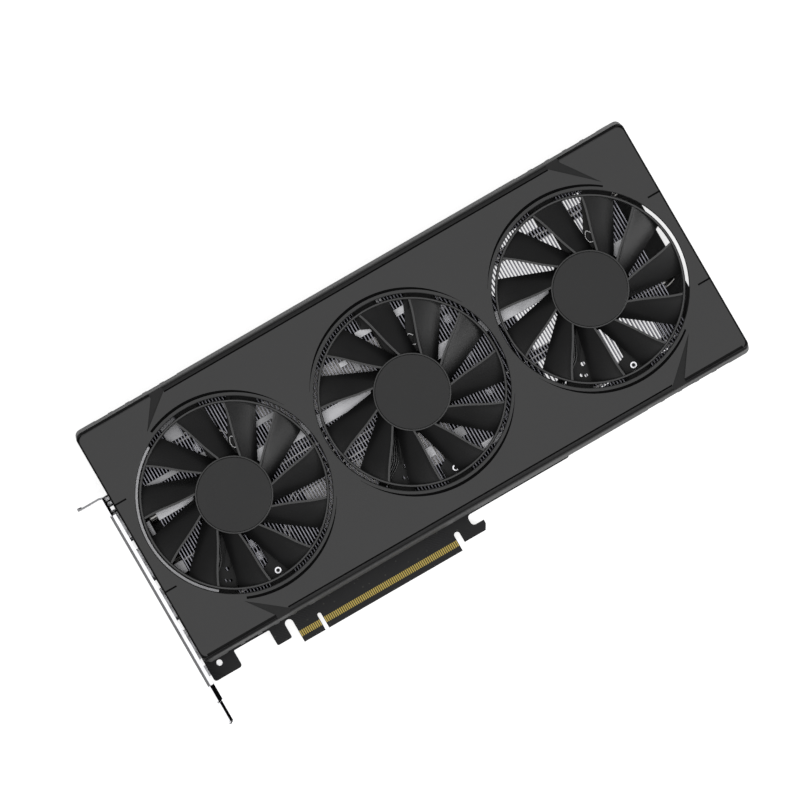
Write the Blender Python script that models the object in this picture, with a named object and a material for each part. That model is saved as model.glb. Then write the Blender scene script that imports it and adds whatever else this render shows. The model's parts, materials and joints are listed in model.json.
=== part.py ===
"""Triple-fan, two-slot graphics card lying on its backplate with the fans facing up.

Sizes are in millimetres and are scaled to metres when a piece is made.
The layout is drawn from the middle fan's axis: +X runs away from the slot bracket,
+Y runs away from the edge connector, and +Z runs from the backplate to the fans.
An empty moves the layout so that the origin is the centre of the card's footprint.
"""

import math

import bmesh
import bpy
from mathutils import Matrix, Vector

MM = 0.001
GAP = 0.3

# Shroud
SHROUD_LENGTH = 288.7
SHROUD_WIDTH = 122.7
SHROUD_TOP = 41.6
SHROUD_FOOT = 5.0
SHROUD_WALL = 2.0
SHROUD_FACE_WIDTH = 115.4
SHROUD_EDGE_RADIUS = 2.0
SHROUD_SLOPE_FOOT = 26.0
SHROUD_CORNER_RADIUS = 2.0
OPENING_SIDES = 48
CUT_PAST = 1.0
WALL_CUT_DEPTH = 5.0
EDGE_STEP_DEPTH = 0.7
EDGE_STEP_INSIDE = 56.6
EDGE_STEP_START = -98.3
EDGE_STEP_END = 104.5
CHEVRON_DEPTH = 0.6
LEFT_CHEVRON = ((-114.3, 44.5), (-98.3, 57.2), (-98.3, 64.0), (-105.1, 64.0), (-105.1, 57.2))
RIGHT_CHEVRON = ((123.0, 39.9), (110.8, 57.2), (110.8, 64.0), (104.5, 64.0), (104.5, 57.2))
SEAM_LENGTH = 6.6
SEAM_WIDTH = 0.8
SEAM_OFFSET = 23.0
SEAM_DEPTH = 1.2
VENT_PITCH = 9.1
VENT_WIDTH = 7.0
VENT_BOTTOM = 11.0
VENT_TOP = 30.0
VENT_COUNT = 5
VENT_FIRST = -129.5
WINDOW_PITCH = 28.0
WINDOW_WIDTH = 24.0
WINDOW_BOTTOM = 9.0
WINDOW_TOP = 24.0
WINDOW_COUNT = 6
SOCKET_RECESS = (-60.5, 31.0, 12.4)
PLUG_RECESS = (4.5, 49.0, 17.6)

# Fans
FAN_PITCH = 94.1
FAN_PHASES = (90.0, 85.3, 88.7)
OPENING_RADIUS = 45.2
RECESS_DEPTH = 0.9
RECESS_OFFSET = 2.8
RECESS_RADIUS = 45.5
RECESS_START = 31.0
RING_OUTER = 43.7
RING_INNER = 42.4
RING_BOTTOM = 33.2
RING_TOP = 39.6
HUB_RADIUS = 18.0
HUB_TOP = 40.6
HUB_BOTTOM = 32.2
HUB_WALL = 1.3
HUB_ROOF = 1.5
HUB_CHAMFER = 0.6
BLADE_COUNT = 11
BLADE_THICKNESS = 1.2
BLADE_ROOT_ANGLES = (-37.5, -6.8)
BLADE_TIP_ANGLES = (-10.2, 10.2)
BLADE_ROOT_HEIGHTS = (33.4, 39.2)
BLADE_TIP_HEIGHTS = (34.1, 38.7)
BLADE_STATIONS = 3
BLADE_CHORD_STEPS = 2
MAGNET_OUTER = 16.4
MAGNET_INNER = 14.0
STATOR_RADIUS = 13.4
STATOR_CORE_RADIUS = 6.4
STATOR_POLES = 4
STATOR_POLE_SPREAD = 36.0
STATOR_NECK_SPREAD = 22.0
STATOR_ROOT_MARGIN = 8.0
STATOR_LIFT = 0.8
STATOR_CLEARANCE = 2.6
SLEEVE_CLEARANCE = 2.0
BEARING_RADIUS = 3.5
BEARING_BORE = 1.56
SHAFT_RADIUS = 1.5
FRAME_BOTTOM = 28.9
FRAME_THICKNESS = 1.5
FRAME_DISC_RADIUS = 19.0
FRAME_REACH = 49.3
FRAME_POST_INNER = 46.3
FRAME_EAR_WIDTH = 12.5
FRAME_EAR_START = 36.5
FRAME_ARMS = ((90.0, 4.4), (55.0, 4.4), (-90.0, 4.4), (-126.0, 9.0))
FRAME_EAR_MARGIN = 0.6
FRAME_ARM_OVERLAP = 3.0
FRAME_ARM_FLARE = 2.0
FRAME_POST_OUTER = 48.1
FRAME_POST_MARGIN = 0.5
FAN_SCREW_OFFSET = 40.1
FAN_SCREW_RADIUS = 1.8
FAN_SCREW_HOLE = 1.0
FAN_SCREW_RECESS = 0.8
FAN_SCREW_HEIGHT = 1.0
FAN_SCREW_RECESS_DEPTH = 0.6

# Board
BOARD_BOTTOM = 2.9
BOARD_THICKNESS = 1.6
BOARD_LEFT = -145.6
BOARD_RIGHT = 48.2
BOARD_EDGE = -62.25
BOARD_TOP_EDGE = 46.0
FINGER_EDGE = -75.15
FINGER_SHORT = (-100.55, -89.4)
FINGER_LONG = (-87.5, -16.35)
KEY_TOP = -66.75
TAB_EDGE = -70.5
FIRST_TAB_RIGHT = -131.0
SECOND_TAB_LEFT = -112.2
FIRST_SLOT = (-104.5, -100.55)
SECOND_SLOT = (-16.35, -13.6)
SECOND_SLOT_TOP = -66.15
HOOK_EDGE = -72.2
HOOK_TIP = -0.8
HOOK_CHAMFER = (1.6, 2.75)
HOOK_THROAT = (-6.75, -67.55)
TAB_HOLE = (-139.5, -63.75)
TAB_HOLE_RADIUS = 1.45
TAB_CORNER_RADIUS = 1.4
HOOK_THROAT_RADIUS = 1.8
BOARD_NOTCH = (18.0, 16.0)

# Slot bracket
BRACKET_FACE = -148.4
BRACKET_SHEET = 0.86
BRACKET_BOTTOM = 0.6
BRACKET_WIDTH = 38.75
BRACKET_SHOULDER = -79.2
BRACKET_TOP = 29.6
BRACKET_LENGTH = 120.02
BRACKET_LIP = 2.9
BRACKET_LIP_SPAN = (-70.3, 19.4)
FLANGE_LENGTH = 11.43
FLANGE_NOTCH_WIDTH = 4.4
FLANGE_NOTCH_DEPTH = 6.2
TONGUE_WIDTH = 10.2
TONGUE_CENTRES = (9.2, 29.5)
TONGUE_CHAMFER = 2.0
BRACKET_TAB_LENGTH = 8.0
BRACKET_TAB_WIDTH = 5.6
BRACKET_TAB_CENTRES = (26.4, -64.2)
BRACKET_TAB_SCREW = 5.6
BRACKET_OVERLAP = 0.4
BRACKET_VENT = (15.0, 34.5)
BRACKET_VENT_FIRST = -61.3
BRACKET_VENT_CORNER = 1.2
BRACKET_VENT_PITCH = 8.0
BRACKET_VENT_WIDTH = 5.2
BRACKET_VENT_COUNT = 10

# Display sockets on the board's bracket end
SOCKET_CENTRES = (13.4, -7.7, -28.7, -50.2)
SOCKET_WIDTHS = (16.9, 16.9, 16.9, 15.6)
SOCKET_HEIGHT = 6.4
SOCKET_LENGTH = 12.6
SOCKET_SHELL = 0.6
SOCKET_CHAMFER = 1.6
SOCKET_DEPTH = 8.5
SOCKET_TONGUE = 1.1
SOCKET_TONGUE_MARGIN = 2.4
SOCKET_TONGUE_SETBACK = 1.2

# Power sockets on the board's top edge
POWER_CENTRES = (16.2, 37.4)
POWER_WIDTH = 19.6
POWER_HEIGHT = 9.8
POWER_BACK = 38.4
POWER_MOUTH = 52.0
POWER_CELL = 3.5
POWER_CELL_PITCH = 4.2
POWER_CELL_DEPTH = 9.0

# Cooler
GPU_CENTRE = (-30.0, -2.0)
PACKAGE_SIDE = 46.0
PACKAGE_THICKNESS = 1.5
DIE_SIZE = (25.0, 20.0, 0.8)
PLATE_SIZE = (74.0, 66.0, 2.1)
PIPE_RADIUS = 3.0
PIPE_SIDES = 8
PIPE_PITCH = 24.05
PIPE_MIDDLE = -2.3
PIPE_GATHERED_PITCH = 6.6
PIPE_START = -127.0
PIPE_END = 130.6
PIPE_BEND_LENGTH = 30.0
PIPE_POINTS = 5
FIN_START = -129.5
FIN_END = 125.5
FIN_PITCH = 1.5
FIN_THICKNESS = 0.4
FIN_WIDTH = 112.0
FIN_TOP = 27.6
FIN_BASE = 1.0
RAIL = ((-129.9, 6.8), (119.3, 12.8))
RAIL_THICKNESS = 0.5
MEMORY_SIZE = (12.0, 14.0, 1.2)
MEMORY_OFFSET = (33.0, 18.0)

# Backplate and fasteners
BACKPLATE_THICKNESS = 1.4
BACKPLATE_LEFT = -141.0
BACKPLATE_RIGHT = 135.1
BACKPLATE_WIDTH = 120.6
BACKPLATE_CORNER = 4.0
FLOW_WINDOW = (
    (54.6, -42.0),
    (58.6, -6.0),
    (58.6, 12.0),
    (54.6, 20.0),
    (54.6, 41.5),
    (113.0, 41.5),
    (113.0, -42.0),
)
SPRING_REACH = 30.0
SPRING_THICKNESS = 0.7
SPRING_WIDTH = 8.0
SPRING_CHAMFER = 1.5
SCREW_HEAD_RADIUS = 2.9
SCREW_SHANK_RADIUS = 1.25
SCREW_CLEARANCE = 1.7
SCREW_HEAD = 1.0
SCREW_SETBACK = 0.3
SCREW_RECESS_DEPTH = 0.4
SCREW_RECESS_SHARE = 0.4
SCREW_FLAT_SHARE = 0.85
BRACKET_SCREW_HEAD = (2.4, 0.8, 1.2)
BRACKET_SCREW_SHANK = 1.3
BACKPLATE_SCREWS = ((-133.0, 52.0), (-133.0, -52.0), (126.0, 52.0), (126.0, -52.0))

SMOOTH_ANGLE = math.radians(35)
BOARD_TOP = BOARD_BOTTOM + BOARD_THICKNESS
CHIP_BOTTOM = BOARD_TOP + GAP
DIE_BOTTOM = CHIP_BOTTOM + PACKAGE_THICKNESS + GAP
PLATE_BOTTOM = DIE_BOTTOM + DIE_SIZE[2] + GAP
PIPE_HEIGHT = PLATE_BOTTOM + PLATE_SIZE[2] + GAP + PIPE_RADIUS
FIN_BOTTOM = PIPE_HEIGHT + PIPE_RADIUS + GAP
FRAME_TOP = FRAME_BOTTOM + FRAME_THICKNESS
PAST_TOP = SHROUD_TOP + CUT_PAST
HALF_LENGTH = SHROUD_LENGTH / 2
HALF_WIDTH = SHROUD_WIDTH / 2
FLANGE_TIP = BRACKET_FACE - FLANGE_LENGTH
TONGUE_TIP = BRACKET_TOP - BRACKET_LENGTH


def clear_scene():
    for old in list(bpy.data.objects):
        bpy.data.objects.remove(old, do_unlink=True)


def make_datum():
    """The empty that carries every piece, placed so that the footprint is centred on the origin."""
    datum = bpy.data.objects.new("card_datum", None)
    datum.location = (-(FLANGE_TIP + HALF_LENGTH) / 2 * MM, -(TONGUE_TIP + HALF_WIDTH) / 2 * MM, 0)
    bpy.context.collection.objects.link(datum)
    return datum


def finish(name, colour, roughness, metallic=0.0):
    material = bpy.data.materials.get(name) or bpy.data.materials.new(name)
    material.use_nodes = True
    shader = material.node_tree.nodes["Principled BSDF"]
    shader.inputs["Base Color"].default_value = (*colour, 1)
    shader.inputs["Roughness"].default_value = roughness
    shader.inputs["Metallic"].default_value = metallic
    return material


def black_moulding():
    return finish("black_moulding", (0.045, 0.045, 0.047), 0.5)


def black_blade():
    return finish("black_blade", (0.02, 0.02, 0.021), 0.45)


def black_sheet():
    return finish("black_sheet", (0.03, 0.03, 0.032), 0.4, 0.6)


def black_board():
    return finish("black_board", (0.022, 0.023, 0.025), 0.45)


def black_socket():
    return finish("black_socket", (0.015, 0.015, 0.016), 0.5)


def bright_sheet():
    return finish("bright_sheet", (0.72, 0.73, 0.74), 0.3, 1.0)


def bare_aluminium():
    return finish("bare_aluminium", (0.62, 0.63, 0.65), 0.35, 1.0)


def bare_copper():
    return finish("bare_copper", (0.72, 0.43, 0.3), 0.3, 1.0)


def plated_steel():
    return finish("plated_steel", (0.6, 0.6, 0.6), 0.3, 1.0)


def green_laminate():
    return finish("green_laminate", (0.03, 0.12, 0.07), 0.4)


def dark_silicon():
    return finish("dark_silicon", (0.1, 0.1, 0.13), 0.15, 0.5)


def add_piece(name, mesh, material, datum, place=(0, 0, 0)):
    """Scale a millimetre bmesh to metres and hang it on the datum as a named object."""
    bmesh.ops.recalc_face_normals(mesh, faces=mesh.faces)
    mesh.transform(Matrix.Scale(MM, 4))
    data = bpy.data.meshes.new(name)
    mesh.to_mesh(data)
    mesh.free()
    data.shade_smooth()
    data.set_sharp_from_angle(angle=SMOOTH_ANGLE)
    piece = bpy.data.objects.new(name, data)
    piece.location = Vector(place) * MM
    piece.parent = datum
    if material:
        data.materials.append(material)
    bpy.context.collection.objects.link(piece)
    return piece


def add_guide(name, mesh, datum, place=(0, 0, 0)):
    """A hidden shape that a Boolean modifier uses."""
    guide = add_piece(name, mesh, None, datum, place)
    guide.hide_render = True
    guide.display_type = 'WIRE'
    return guide


def combine(piece, guide, operation):
    modifier = piece.modifiers.new(guide.name, 'BOOLEAN')
    modifier.operation = operation
    modifier.solver = 'EXACT'
    modifier.object = guide


def cut(piece, name, mesh, datum, place=(0, 0, 0)):
    combine(piece, add_guide(name, mesh, datum, place), 'DIFFERENCE')


def fuse(piece, name, mesh, datum, place=(0, 0, 0)):
    combine(piece, add_guide(name, mesh, datum, place), 'UNION')


def arc(centre, radius, start, end, steps):
    """Points along a circular arc, with angles in degrees."""
    turn = math.radians(end - start)
    first = math.radians(start)
    angles = [first + turn * i / steps for i in range(steps + 1)]
    return [(centre[0] + radius * math.cos(a), centre[1] + radius * math.sin(a)) for a in angles]


def circle(centre, radius, sides):
    return arc(centre, radius, 0, 360, sides)[:-1]


def rounded_rectangle(low, high, radius, steps=4):
    corners = (
        ((high[0] - radius, high[1] - radius), 0),
        ((low[0] + radius, high[1] - radius), 90),
        ((low[0] + radius, low[1] + radius), 180),
        ((high[0] - radius, low[1] + radius), 270),
    )
    return [point for centre, start in corners for point in arc(centre, radius, start, start + 90, steps)]


def add_prism(mesh, outline, low, high):
    """Extrude a closed XY outline from one height to another."""
    bottom = [mesh.verts.new((x, y, low)) for x, y in outline]
    top = [mesh.verts.new((x, y, high)) for x, y in outline]
    mesh.faces.new(reversed(bottom))
    mesh.faces.new(top)
    for i in range(len(outline)):
        j = (i + 1) % len(outline)
        mesh.faces.new((bottom[i], bottom[j], top[j], top[i]))


def prism(outline, low, high):
    mesh = bmesh.new()
    add_prism(mesh, outline, low, high)
    return mesh


def prism_along_x(section, low, high):
    """Extrude a closed YZ outline along X."""
    mesh = prism(section, low, high)
    mesh.transform(Matrix(((0, 0, 1, 0), (1, 0, 0, 0), (0, 1, 0, 0), (0, 0, 0, 1))))
    return mesh


def add_box(mesh, low, high):
    outline = [(low[0], low[1]), (high[0], low[1]), (high[0], high[1]), (low[0], high[1])]
    add_prism(mesh, outline, low[2], high[2])


def box(low, high):
    mesh = bmesh.new()
    add_box(mesh, low, high)
    return mesh


def lathe(profile, sides):
    """Turn a closed (radius, height) profile about Z; a radius of zero is a point on the axis."""
    mesh = bmesh.new()
    rings = []
    for radius, height in profile:
        if radius == 0:
            rings.append([mesh.verts.new((0, 0, height))] * sides)
        else:
            rings.append([mesh.verts.new((x, y, height)) for x, y in circle((0, 0), radius, sides)])
    for i in range(len(rings)):
        lower, upper = rings[i], rings[(i + 1) % len(rings)]
        for j in range(sides):
            k = (j + 1) % sides
            corners = list(dict.fromkeys((lower[j], lower[k], upper[k], upper[j])))
            if len(corners) > 2:
                mesh.faces.new(corners)
    return mesh


def shroud_section(inset):
    """Half of the shroud's cross-section and its mirror image: wall, slope and rounded top edge."""
    radius = SHROUD_EDGE_RADIUS
    face_edge = SHROUD_FACE_WIDTH / 2 - inset
    top = SHROUD_TOP - inset
    side = arc((face_edge, top - radius), radius, 0, 90, 3)
    half = [(HALF_WIDTH - inset, SHROUD_FOOT - inset), (HALF_WIDTH - inset, SHROUD_SLOPE_FOOT), *side]
    return half + [(-y, z) for y, z in reversed(half)]


def mirrored(outline):
    return [(x, -y) for x, y in reversed(outline)]


def recess_outline(middle):
    """A crescent beside a fan opening, on the +Y or the -Y side."""
    shift = RECESS_OFFSET if middle > 0 else -RECESS_OFFSET
    spread = 90 - RECESS_START
    outer = arc((0, shift), RECESS_RADIUS, middle - spread, middle + spread, 12)
    inner = arc((0, 0), OPENING_RADIUS - 1, middle + spread, middle - spread, 12)
    return outer + inner


def add_wall_slot(mesh, middle, width, bottom, top, side):
    """A slot through one of the long walls; side is -1 or 1."""
    low, high = sorted((side * (HALF_WIDTH - WALL_CUT_DEPTH), side * (HALF_WIDTH + CUT_PAST)))
    add_box(mesh, (middle - width / 2, low, bottom), (middle + width / 2, high, top))


def side_vents():
    """Upright vents near both ends of the long walls, and wide windows between them."""
    mesh = bmesh.new()
    for side in (-1, 1):
        for i in range(VENT_COUNT):
            for direction in (-1, 1):
                middle = direction * (VENT_FIRST + i * VENT_PITCH)
                add_wall_slot(mesh, middle, VENT_WIDTH, VENT_BOTTOM, VENT_TOP, side)
        for i in range(WINDOW_COUNT):
            middle = (i - (WINDOW_COUNT - 1) / 2) * WINDOW_PITCH
            left, right = middle - WINDOW_WIDTH / 2, middle + WINDOW_WIDTH / 2
            if side < 0 or right < PLUG_RECESS[0] or left > PLUG_RECESS[1]:
                add_wall_slot(mesh, middle, WINDOW_WIDTH, WINDOW_BOTTOM, WINDOW_TOP, side)
    return mesh


def make_shroud(datum):
    body = prism_along_x(shroud_section(0), -HALF_LENGTH, HALF_LENGTH)
    shroud = add_piece("shroud", body, black_moulding(), datum)
    corner = (HALF_LENGTH, HALF_WIDTH + CUT_PAST)
    outline = rounded_rectangle((-corner[0], -corner[1]), corner, SHROUD_CORNER_RADIUS + CUT_PAST, 3)
    combine(shroud, add_guide("shroud_outline", prism(outline, 0, PAST_TOP), datum), 'INTERSECT')
    inside = prism_along_x(shroud_section(SHROUD_WALL), SHROUD_WALL - HALF_LENGTH, HALF_LENGTH - SHROUD_WALL)
    cut(shroud, "shroud_inside", inside, datum)

    for i, x in enumerate(fan_positions(), 1):
        opening = prism(circle((0, 0), OPENING_RADIUS, OPENING_SIDES), SHROUD_TOP - WALL_CUT_DEPTH, PAST_TOP)
        cut(shroud, f"opening_{i}", opening, datum, (x, 0, 0))
        recesses = bmesh.new()
        for middle in (90, -90):
            add_prism(recesses, recess_outline(middle), SHROUD_TOP - RECESS_DEPTH, PAST_TOP)
        cut(shroud, f"recess_{i}", recesses, datum, (x, 0, 0))

    chevrons = bmesh.new()
    for outline in (LEFT_CHEVRON, RIGHT_CHEVRON):
        add_prism(chevrons, outline, SHROUD_TOP - CHEVRON_DEPTH, PAST_TOP)
        add_prism(chevrons, mirrored(outline), SHROUD_TOP - CHEVRON_DEPTH, PAST_TOP)
    cut(shroud, "chevrons", chevrons, datum)

    steps = bmesh.new()
    for side in (-1, 1):
        low, high = sorted((side * EDGE_STEP_INSIDE, side * (HALF_WIDTH + CUT_PAST)))
        add_box(steps, (EDGE_STEP_START, low, SHROUD_TOP - EDGE_STEP_DEPTH), (EDGE_STEP_END, high, PAST_TOP))
    cut(shroud, "edge_steps", steps, datum)

    seams = bmesh.new()
    for side in (-1, 1):
        left, right = sorted((side * (HALF_LENGTH - SEAM_LENGTH), side * (HALF_LENGTH + CUT_PAST)))
        for y in (-SEAM_OFFSET, SEAM_OFFSET):
            half = SEAM_WIDTH / 2
            add_box(seams, (left, y - half, SHROUD_TOP - SEAM_DEPTH), (right, y + half, PAST_TOP))
    cut(shroud, "seams", seams, datum)
    cut(shroud, "side_vents", side_vents(), datum)

    low, high, height = SOCKET_RECESS
    recess = box((-HALF_LENGTH - CUT_PAST, low, 0), (WALL_CUT_DEPTH - HALF_LENGTH, high, height))
    cut(shroud, "socket_recess", recess, datum)
    low, high, height = PLUG_RECESS
    recess = box((low, HALF_WIDTH - WALL_CUT_DEPTH, 0), (high, HALF_WIDTH + CUT_PAST, height))
    cut(shroud, "plug_recess", recess, datum)


def fan_positions():
    return (-FAN_PITCH, 0, FAN_PITCH)


def blend(first, last, part):
    return first + (last - first) * part


def polar(radius, angle):
    return Vector((radius * math.cos(math.radians(angle)), radius * math.sin(math.radians(angle))))


def add_blade(mesh, middle):
    """One blade from inside the hub's wall to inside the ring, its leading edge nearer the front."""
    root = HUB_RADIUS - HUB_WALL / 2
    tip = (RING_INNER + RING_OUTER) / 2
    layers = []
    for side in (-0.5, 0.5):
        rows = []
        for i in range(BLADE_STATIONS):
            out = i / (BLADE_STATIONS - 1)
            row = []
            for j in range(BLADE_CHORD_STEPS + 1):
                along = j / BLADE_CHORD_STEPS
                inner = polar(root, middle + blend(*BLADE_ROOT_ANGLES, along))
                outer = polar(tip, middle + blend(*BLADE_TIP_ANGLES, along))
                height = blend(blend(*BLADE_ROOT_HEIGHTS, along), blend(*BLADE_TIP_HEIGHTS, along), out)
                spot = inner.lerp(outer, out)
                row.append(mesh.verts.new((spot.x, spot.y, height + side * BLADE_THICKNESS)))
            rows.append(row)
        layers.append(rows)
    bottom, top = layers
    for i in range(BLADE_STATIONS - 1):
        for j in range(BLADE_CHORD_STEPS):
            mesh.faces.new((top[i][j], top[i + 1][j], top[i + 1][j + 1], top[i][j + 1]))
            mesh.faces.new((bottom[i][j], bottom[i][j + 1], bottom[i + 1][j + 1], bottom[i + 1][j]))
        for j in (0, BLADE_CHORD_STEPS):
            mesh.faces.new((bottom[i][j], bottom[i + 1][j], top[i + 1][j], top[i][j]))
    for i in (0, BLADE_STATIONS - 1):
        for j in range(BLADE_CHORD_STEPS):
            mesh.faces.new((bottom[i][j], bottom[i][j + 1], top[i][j + 1], top[i][j]))


def hub_profile():
    """The rotor's cup: roof, chamfered rim, wall and the boss that takes the shaft."""
    roof = HUB_TOP - HUB_ROOF
    return [
        (0, HUB_TOP),
        (HUB_RADIUS - HUB_CHAMFER, HUB_TOP),
        (HUB_RADIUS, HUB_TOP - HUB_CHAMFER),
        (HUB_RADIUS, HUB_BOTTOM),
        (HUB_RADIUS - HUB_WALL, HUB_BOTTOM),
        (HUB_RADIUS - HUB_WALL, roof),
        (0, roof),
    ]


def make_rotor(number, x, datum):
    rotor = add_piece(f"rotor_{number}", lathe(hub_profile(), 36), black_blade(), datum, (x, 0, 0))
    blades = bmesh.new()
    for i in range(BLADE_COUNT):
        add_blade(blades, FAN_PHASES[number - 1] + i * 360 / BLADE_COUNT)
    fuse(rotor, f"blades_{number}", blades, datum, (x, 0, 0))
    profile = [
        (RING_INNER, RING_BOTTOM),
        (RING_OUTER, RING_BOTTOM),
        (RING_OUTER, RING_TOP),
        (RING_INNER, RING_TOP),
    ]
    fuse(rotor, f"ring_{number}", lathe(profile, 48), datum, (x, 0, 0))


def make_motor(number, x, datum):
    place = (x, 0, 0)
    roof = HUB_TOP - HUB_ROOF
    profile = [
        (MAGNET_INNER, HUB_BOTTOM + GAP),
        (MAGNET_OUTER, HUB_BOTTOM + GAP),
        (MAGNET_OUTER, roof - GAP),
        (MAGNET_INNER, roof - GAP),
    ]
    add_piece(f"rotor_magnet_{number}", lathe(profile, 32), plated_steel(), datum, place)

    shaft_bottom = FRAME_TOP + 2 * GAP
    shaft = [(0, roof - GAP), (SHAFT_RADIUS, roof - GAP), (SHAFT_RADIUS, shaft_bottom), (0, shaft_bottom)]
    add_piece(f"rotor_shaft_{number}", lathe(shaft, 24), plated_steel(), datum, place)

    low, high = FRAME_TOP + GAP, roof - SLEEVE_CLEARANCE
    sleeve = [(BEARING_BORE, low), (BEARING_RADIUS, low), (BEARING_RADIUS, high), (BEARING_BORE, high)]
    add_piece(f"bearing_{number}", lathe(sleeve, 24), bare_copper(), datum, place)
    make_stator(number, place, datum)


def make_stator(number, place, datum):
    """A core with one wide pole for each winding."""
    outline = []
    pitch = 360 / STATOR_POLES
    for i in range(STATOR_POLES):
        middle = i * pitch
        root = pitch / 2 - STATOR_ROOT_MARGIN
        outline += arc((0, 0), STATOR_CORE_RADIUS, middle - root, middle - STATOR_NECK_SPREAD, 2)
        outline += arc((0, 0), STATOR_RADIUS, middle - STATOR_POLE_SPREAD, middle + STATOR_POLE_SPREAD, 5)
        outline += arc((0, 0), STATOR_CORE_RADIUS, middle + STATOR_NECK_SPREAD, middle + root, 2)
    core = prism(outline, FRAME_TOP + STATOR_LIFT, HUB_TOP - HUB_ROOF - STATOR_CLEARANCE)
    stator = add_piece(f"stator_{number}", core, plated_steel(), datum, place)
    bore = prism(circle((0, 0), BEARING_RADIUS + GAP, 24), FRAME_BOTTOM, HUB_TOP)
    cut(stator, f"stator_bore_{number}", bore, datum, place)


def add_turned_prism(mesh, outline, angle, low, high):
    """A prism whose outline is drawn along +X and then turned about the fan's axis."""
    turn = Matrix.Rotation(math.radians(angle), 2)
    add_prism(mesh, [tuple(turn @ Vector(point)) for point in outline], low, high)


def arm_outline(width):
    """An arm that widens into an ear under the shroud."""
    thin, wide = width / 2, FRAME_EAR_WIDTH / 2
    half = [
        (FRAME_DISC_RADIUS - FRAME_ARM_OVERLAP, -thin),
        (FRAME_EAR_START - FRAME_ARM_FLARE, -thin),
        (FRAME_EAR_START, -wide),
        (FRAME_REACH - FRAME_EAR_MARGIN, -wide),
    ]
    return half + [(x, -y) for x, y in reversed(half)]


def make_fan_frame(number, x, datum):
    """The disc that carries the motor, four arms, and a post at each arm's end up to the shroud."""
    place = (x, 0, 0)
    disc = prism(circle((0, 0), FRAME_DISC_RADIUS, 36), FRAME_BOTTOM, FRAME_TOP)
    frame = add_piece(f"fan_frame_{number}", disc, black_moulding(), datum, place)
    arms = bmesh.new()
    posts = bmesh.new()
    half = FRAME_EAR_WIDTH / 2 - FRAME_POST_MARGIN
    inner, outer = FRAME_POST_INNER, FRAME_POST_OUTER
    post = [(inner, -half), (outer, -half), (outer, half), (inner, half)]
    post_top = SHROUD_TOP - SHROUD_WALL - GAP
    for angle, width in FRAME_ARMS:
        add_turned_prism(arms, arm_outline(width), angle, FRAME_BOTTOM, FRAME_TOP)
        add_turned_prism(posts, post, angle, FRAME_BOTTOM + FRAME_POST_MARGIN, post_top)
    fuse(frame, f"arms_{number}", arms, datum, place)
    fuse(frame, f"posts_{number}", posts, datum, place)

    outline = circle((0, -FAN_SCREW_OFFSET), FAN_SCREW_HOLE, 12)
    hole = prism(outline, FRAME_BOTTOM - CUT_PAST, FRAME_TOP + CUT_PAST)
    cut(frame, f"screw_hole_{number}", hole, datum, place)
    make_fan_screw(number, x, datum)


def make_fan_screw(number, x, datum):
    low = FRAME_TOP + GAP
    high = low + FAN_SCREW_HEIGHT
    head = [
        (0, low),
        (FAN_SCREW_RADIUS, low),
        (FAN_SCREW_RADIUS, high),
        (FAN_SCREW_RECESS, high),
        (FAN_SCREW_RECESS, high - FAN_SCREW_RECESS_DEPTH),
        (0, high - FAN_SCREW_RECESS_DEPTH),
    ]
    add_piece(f"fan_screw_{number}", lathe(head, 20), plated_steel(), datum, (x, -FAN_SCREW_OFFSET, 0))


def board_outline():
    """The board's edge: end tabs, slots, edge connector with its key notch, and the retention hook."""
    slot_radius = (FIRST_SLOT[1] - FIRST_SLOT[0]) / 2
    slot = arc((sum(FIRST_SLOT) / 2, BOARD_EDGE - slot_radius), slot_radius, 180, 0, 6)
    key_radius = (FINGER_LONG[0] - FINGER_SHORT[1]) / 2
    key = arc((FINGER_SHORT[1] + key_radius, KEY_TOP - key_radius), key_radius, 180, 0, 6)
    gap_radius = (SECOND_SLOT[1] - SECOND_SLOT[0]) / 2
    gap = arc((sum(SECOND_SLOT) / 2, SECOND_SLOT_TOP - gap_radius), gap_radius, 180, 0, 6)
    throat_x, throat_y = HOOK_THROAT
    bend = HOOK_THROAT_RADIUS
    throat = arc((throat_x + bend, throat_y + bend), bend, 270, 180, 3)
    throat += arc((throat_x + bend, BOARD_EDGE - bend), bend, 180, 90, 3)
    corner = TAB_CORNER_RADIUS
    notch_x, notch_y = BOARD_LEFT + BOARD_NOTCH[0], BOARD_TOP_EDGE - BOARD_NOTCH[1]
    return [
        (BOARD_LEFT, notch_y),
        *arc((BOARD_LEFT + corner, TAB_EDGE + corner), corner, 180, 270, 3),
        *arc((FIRST_TAB_RIGHT - corner, TAB_EDGE + corner), corner, 270, 360, 3),
        (FIRST_TAB_RIGHT, BOARD_EDGE),
        (SECOND_TAB_LEFT, BOARD_EDGE),
        (SECOND_TAB_LEFT, TAB_EDGE),
        (FIRST_SLOT[0], TAB_EDGE),
        *slot,
        (FINGER_SHORT[0], FINGER_EDGE),
        (FINGER_SHORT[1], FINGER_EDGE),
        *key,
        (FINGER_LONG[0], FINGER_EDGE),
        (FINGER_LONG[1], FINGER_EDGE),
        *gap,
        (SECOND_SLOT[1], HOOK_EDGE),
        (HOOK_TIP - HOOK_CHAMFER[0], HOOK_EDGE),
        (HOOK_TIP, HOOK_EDGE + HOOK_CHAMFER[1]),
        (HOOK_TIP, throat_y),
        *throat,
        (BOARD_RIGHT, BOARD_EDGE),
        (BOARD_RIGHT, BOARD_TOP_EDGE),
        (notch_x, BOARD_TOP_EDGE),
        (notch_x, notch_y),
    ]


def spring_corners():
    x, y = GPU_CENTRE
    return [(x + i * SPRING_REACH, y + j * SPRING_REACH) for i in (-1, 1) for j in (-1, 1)]


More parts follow.
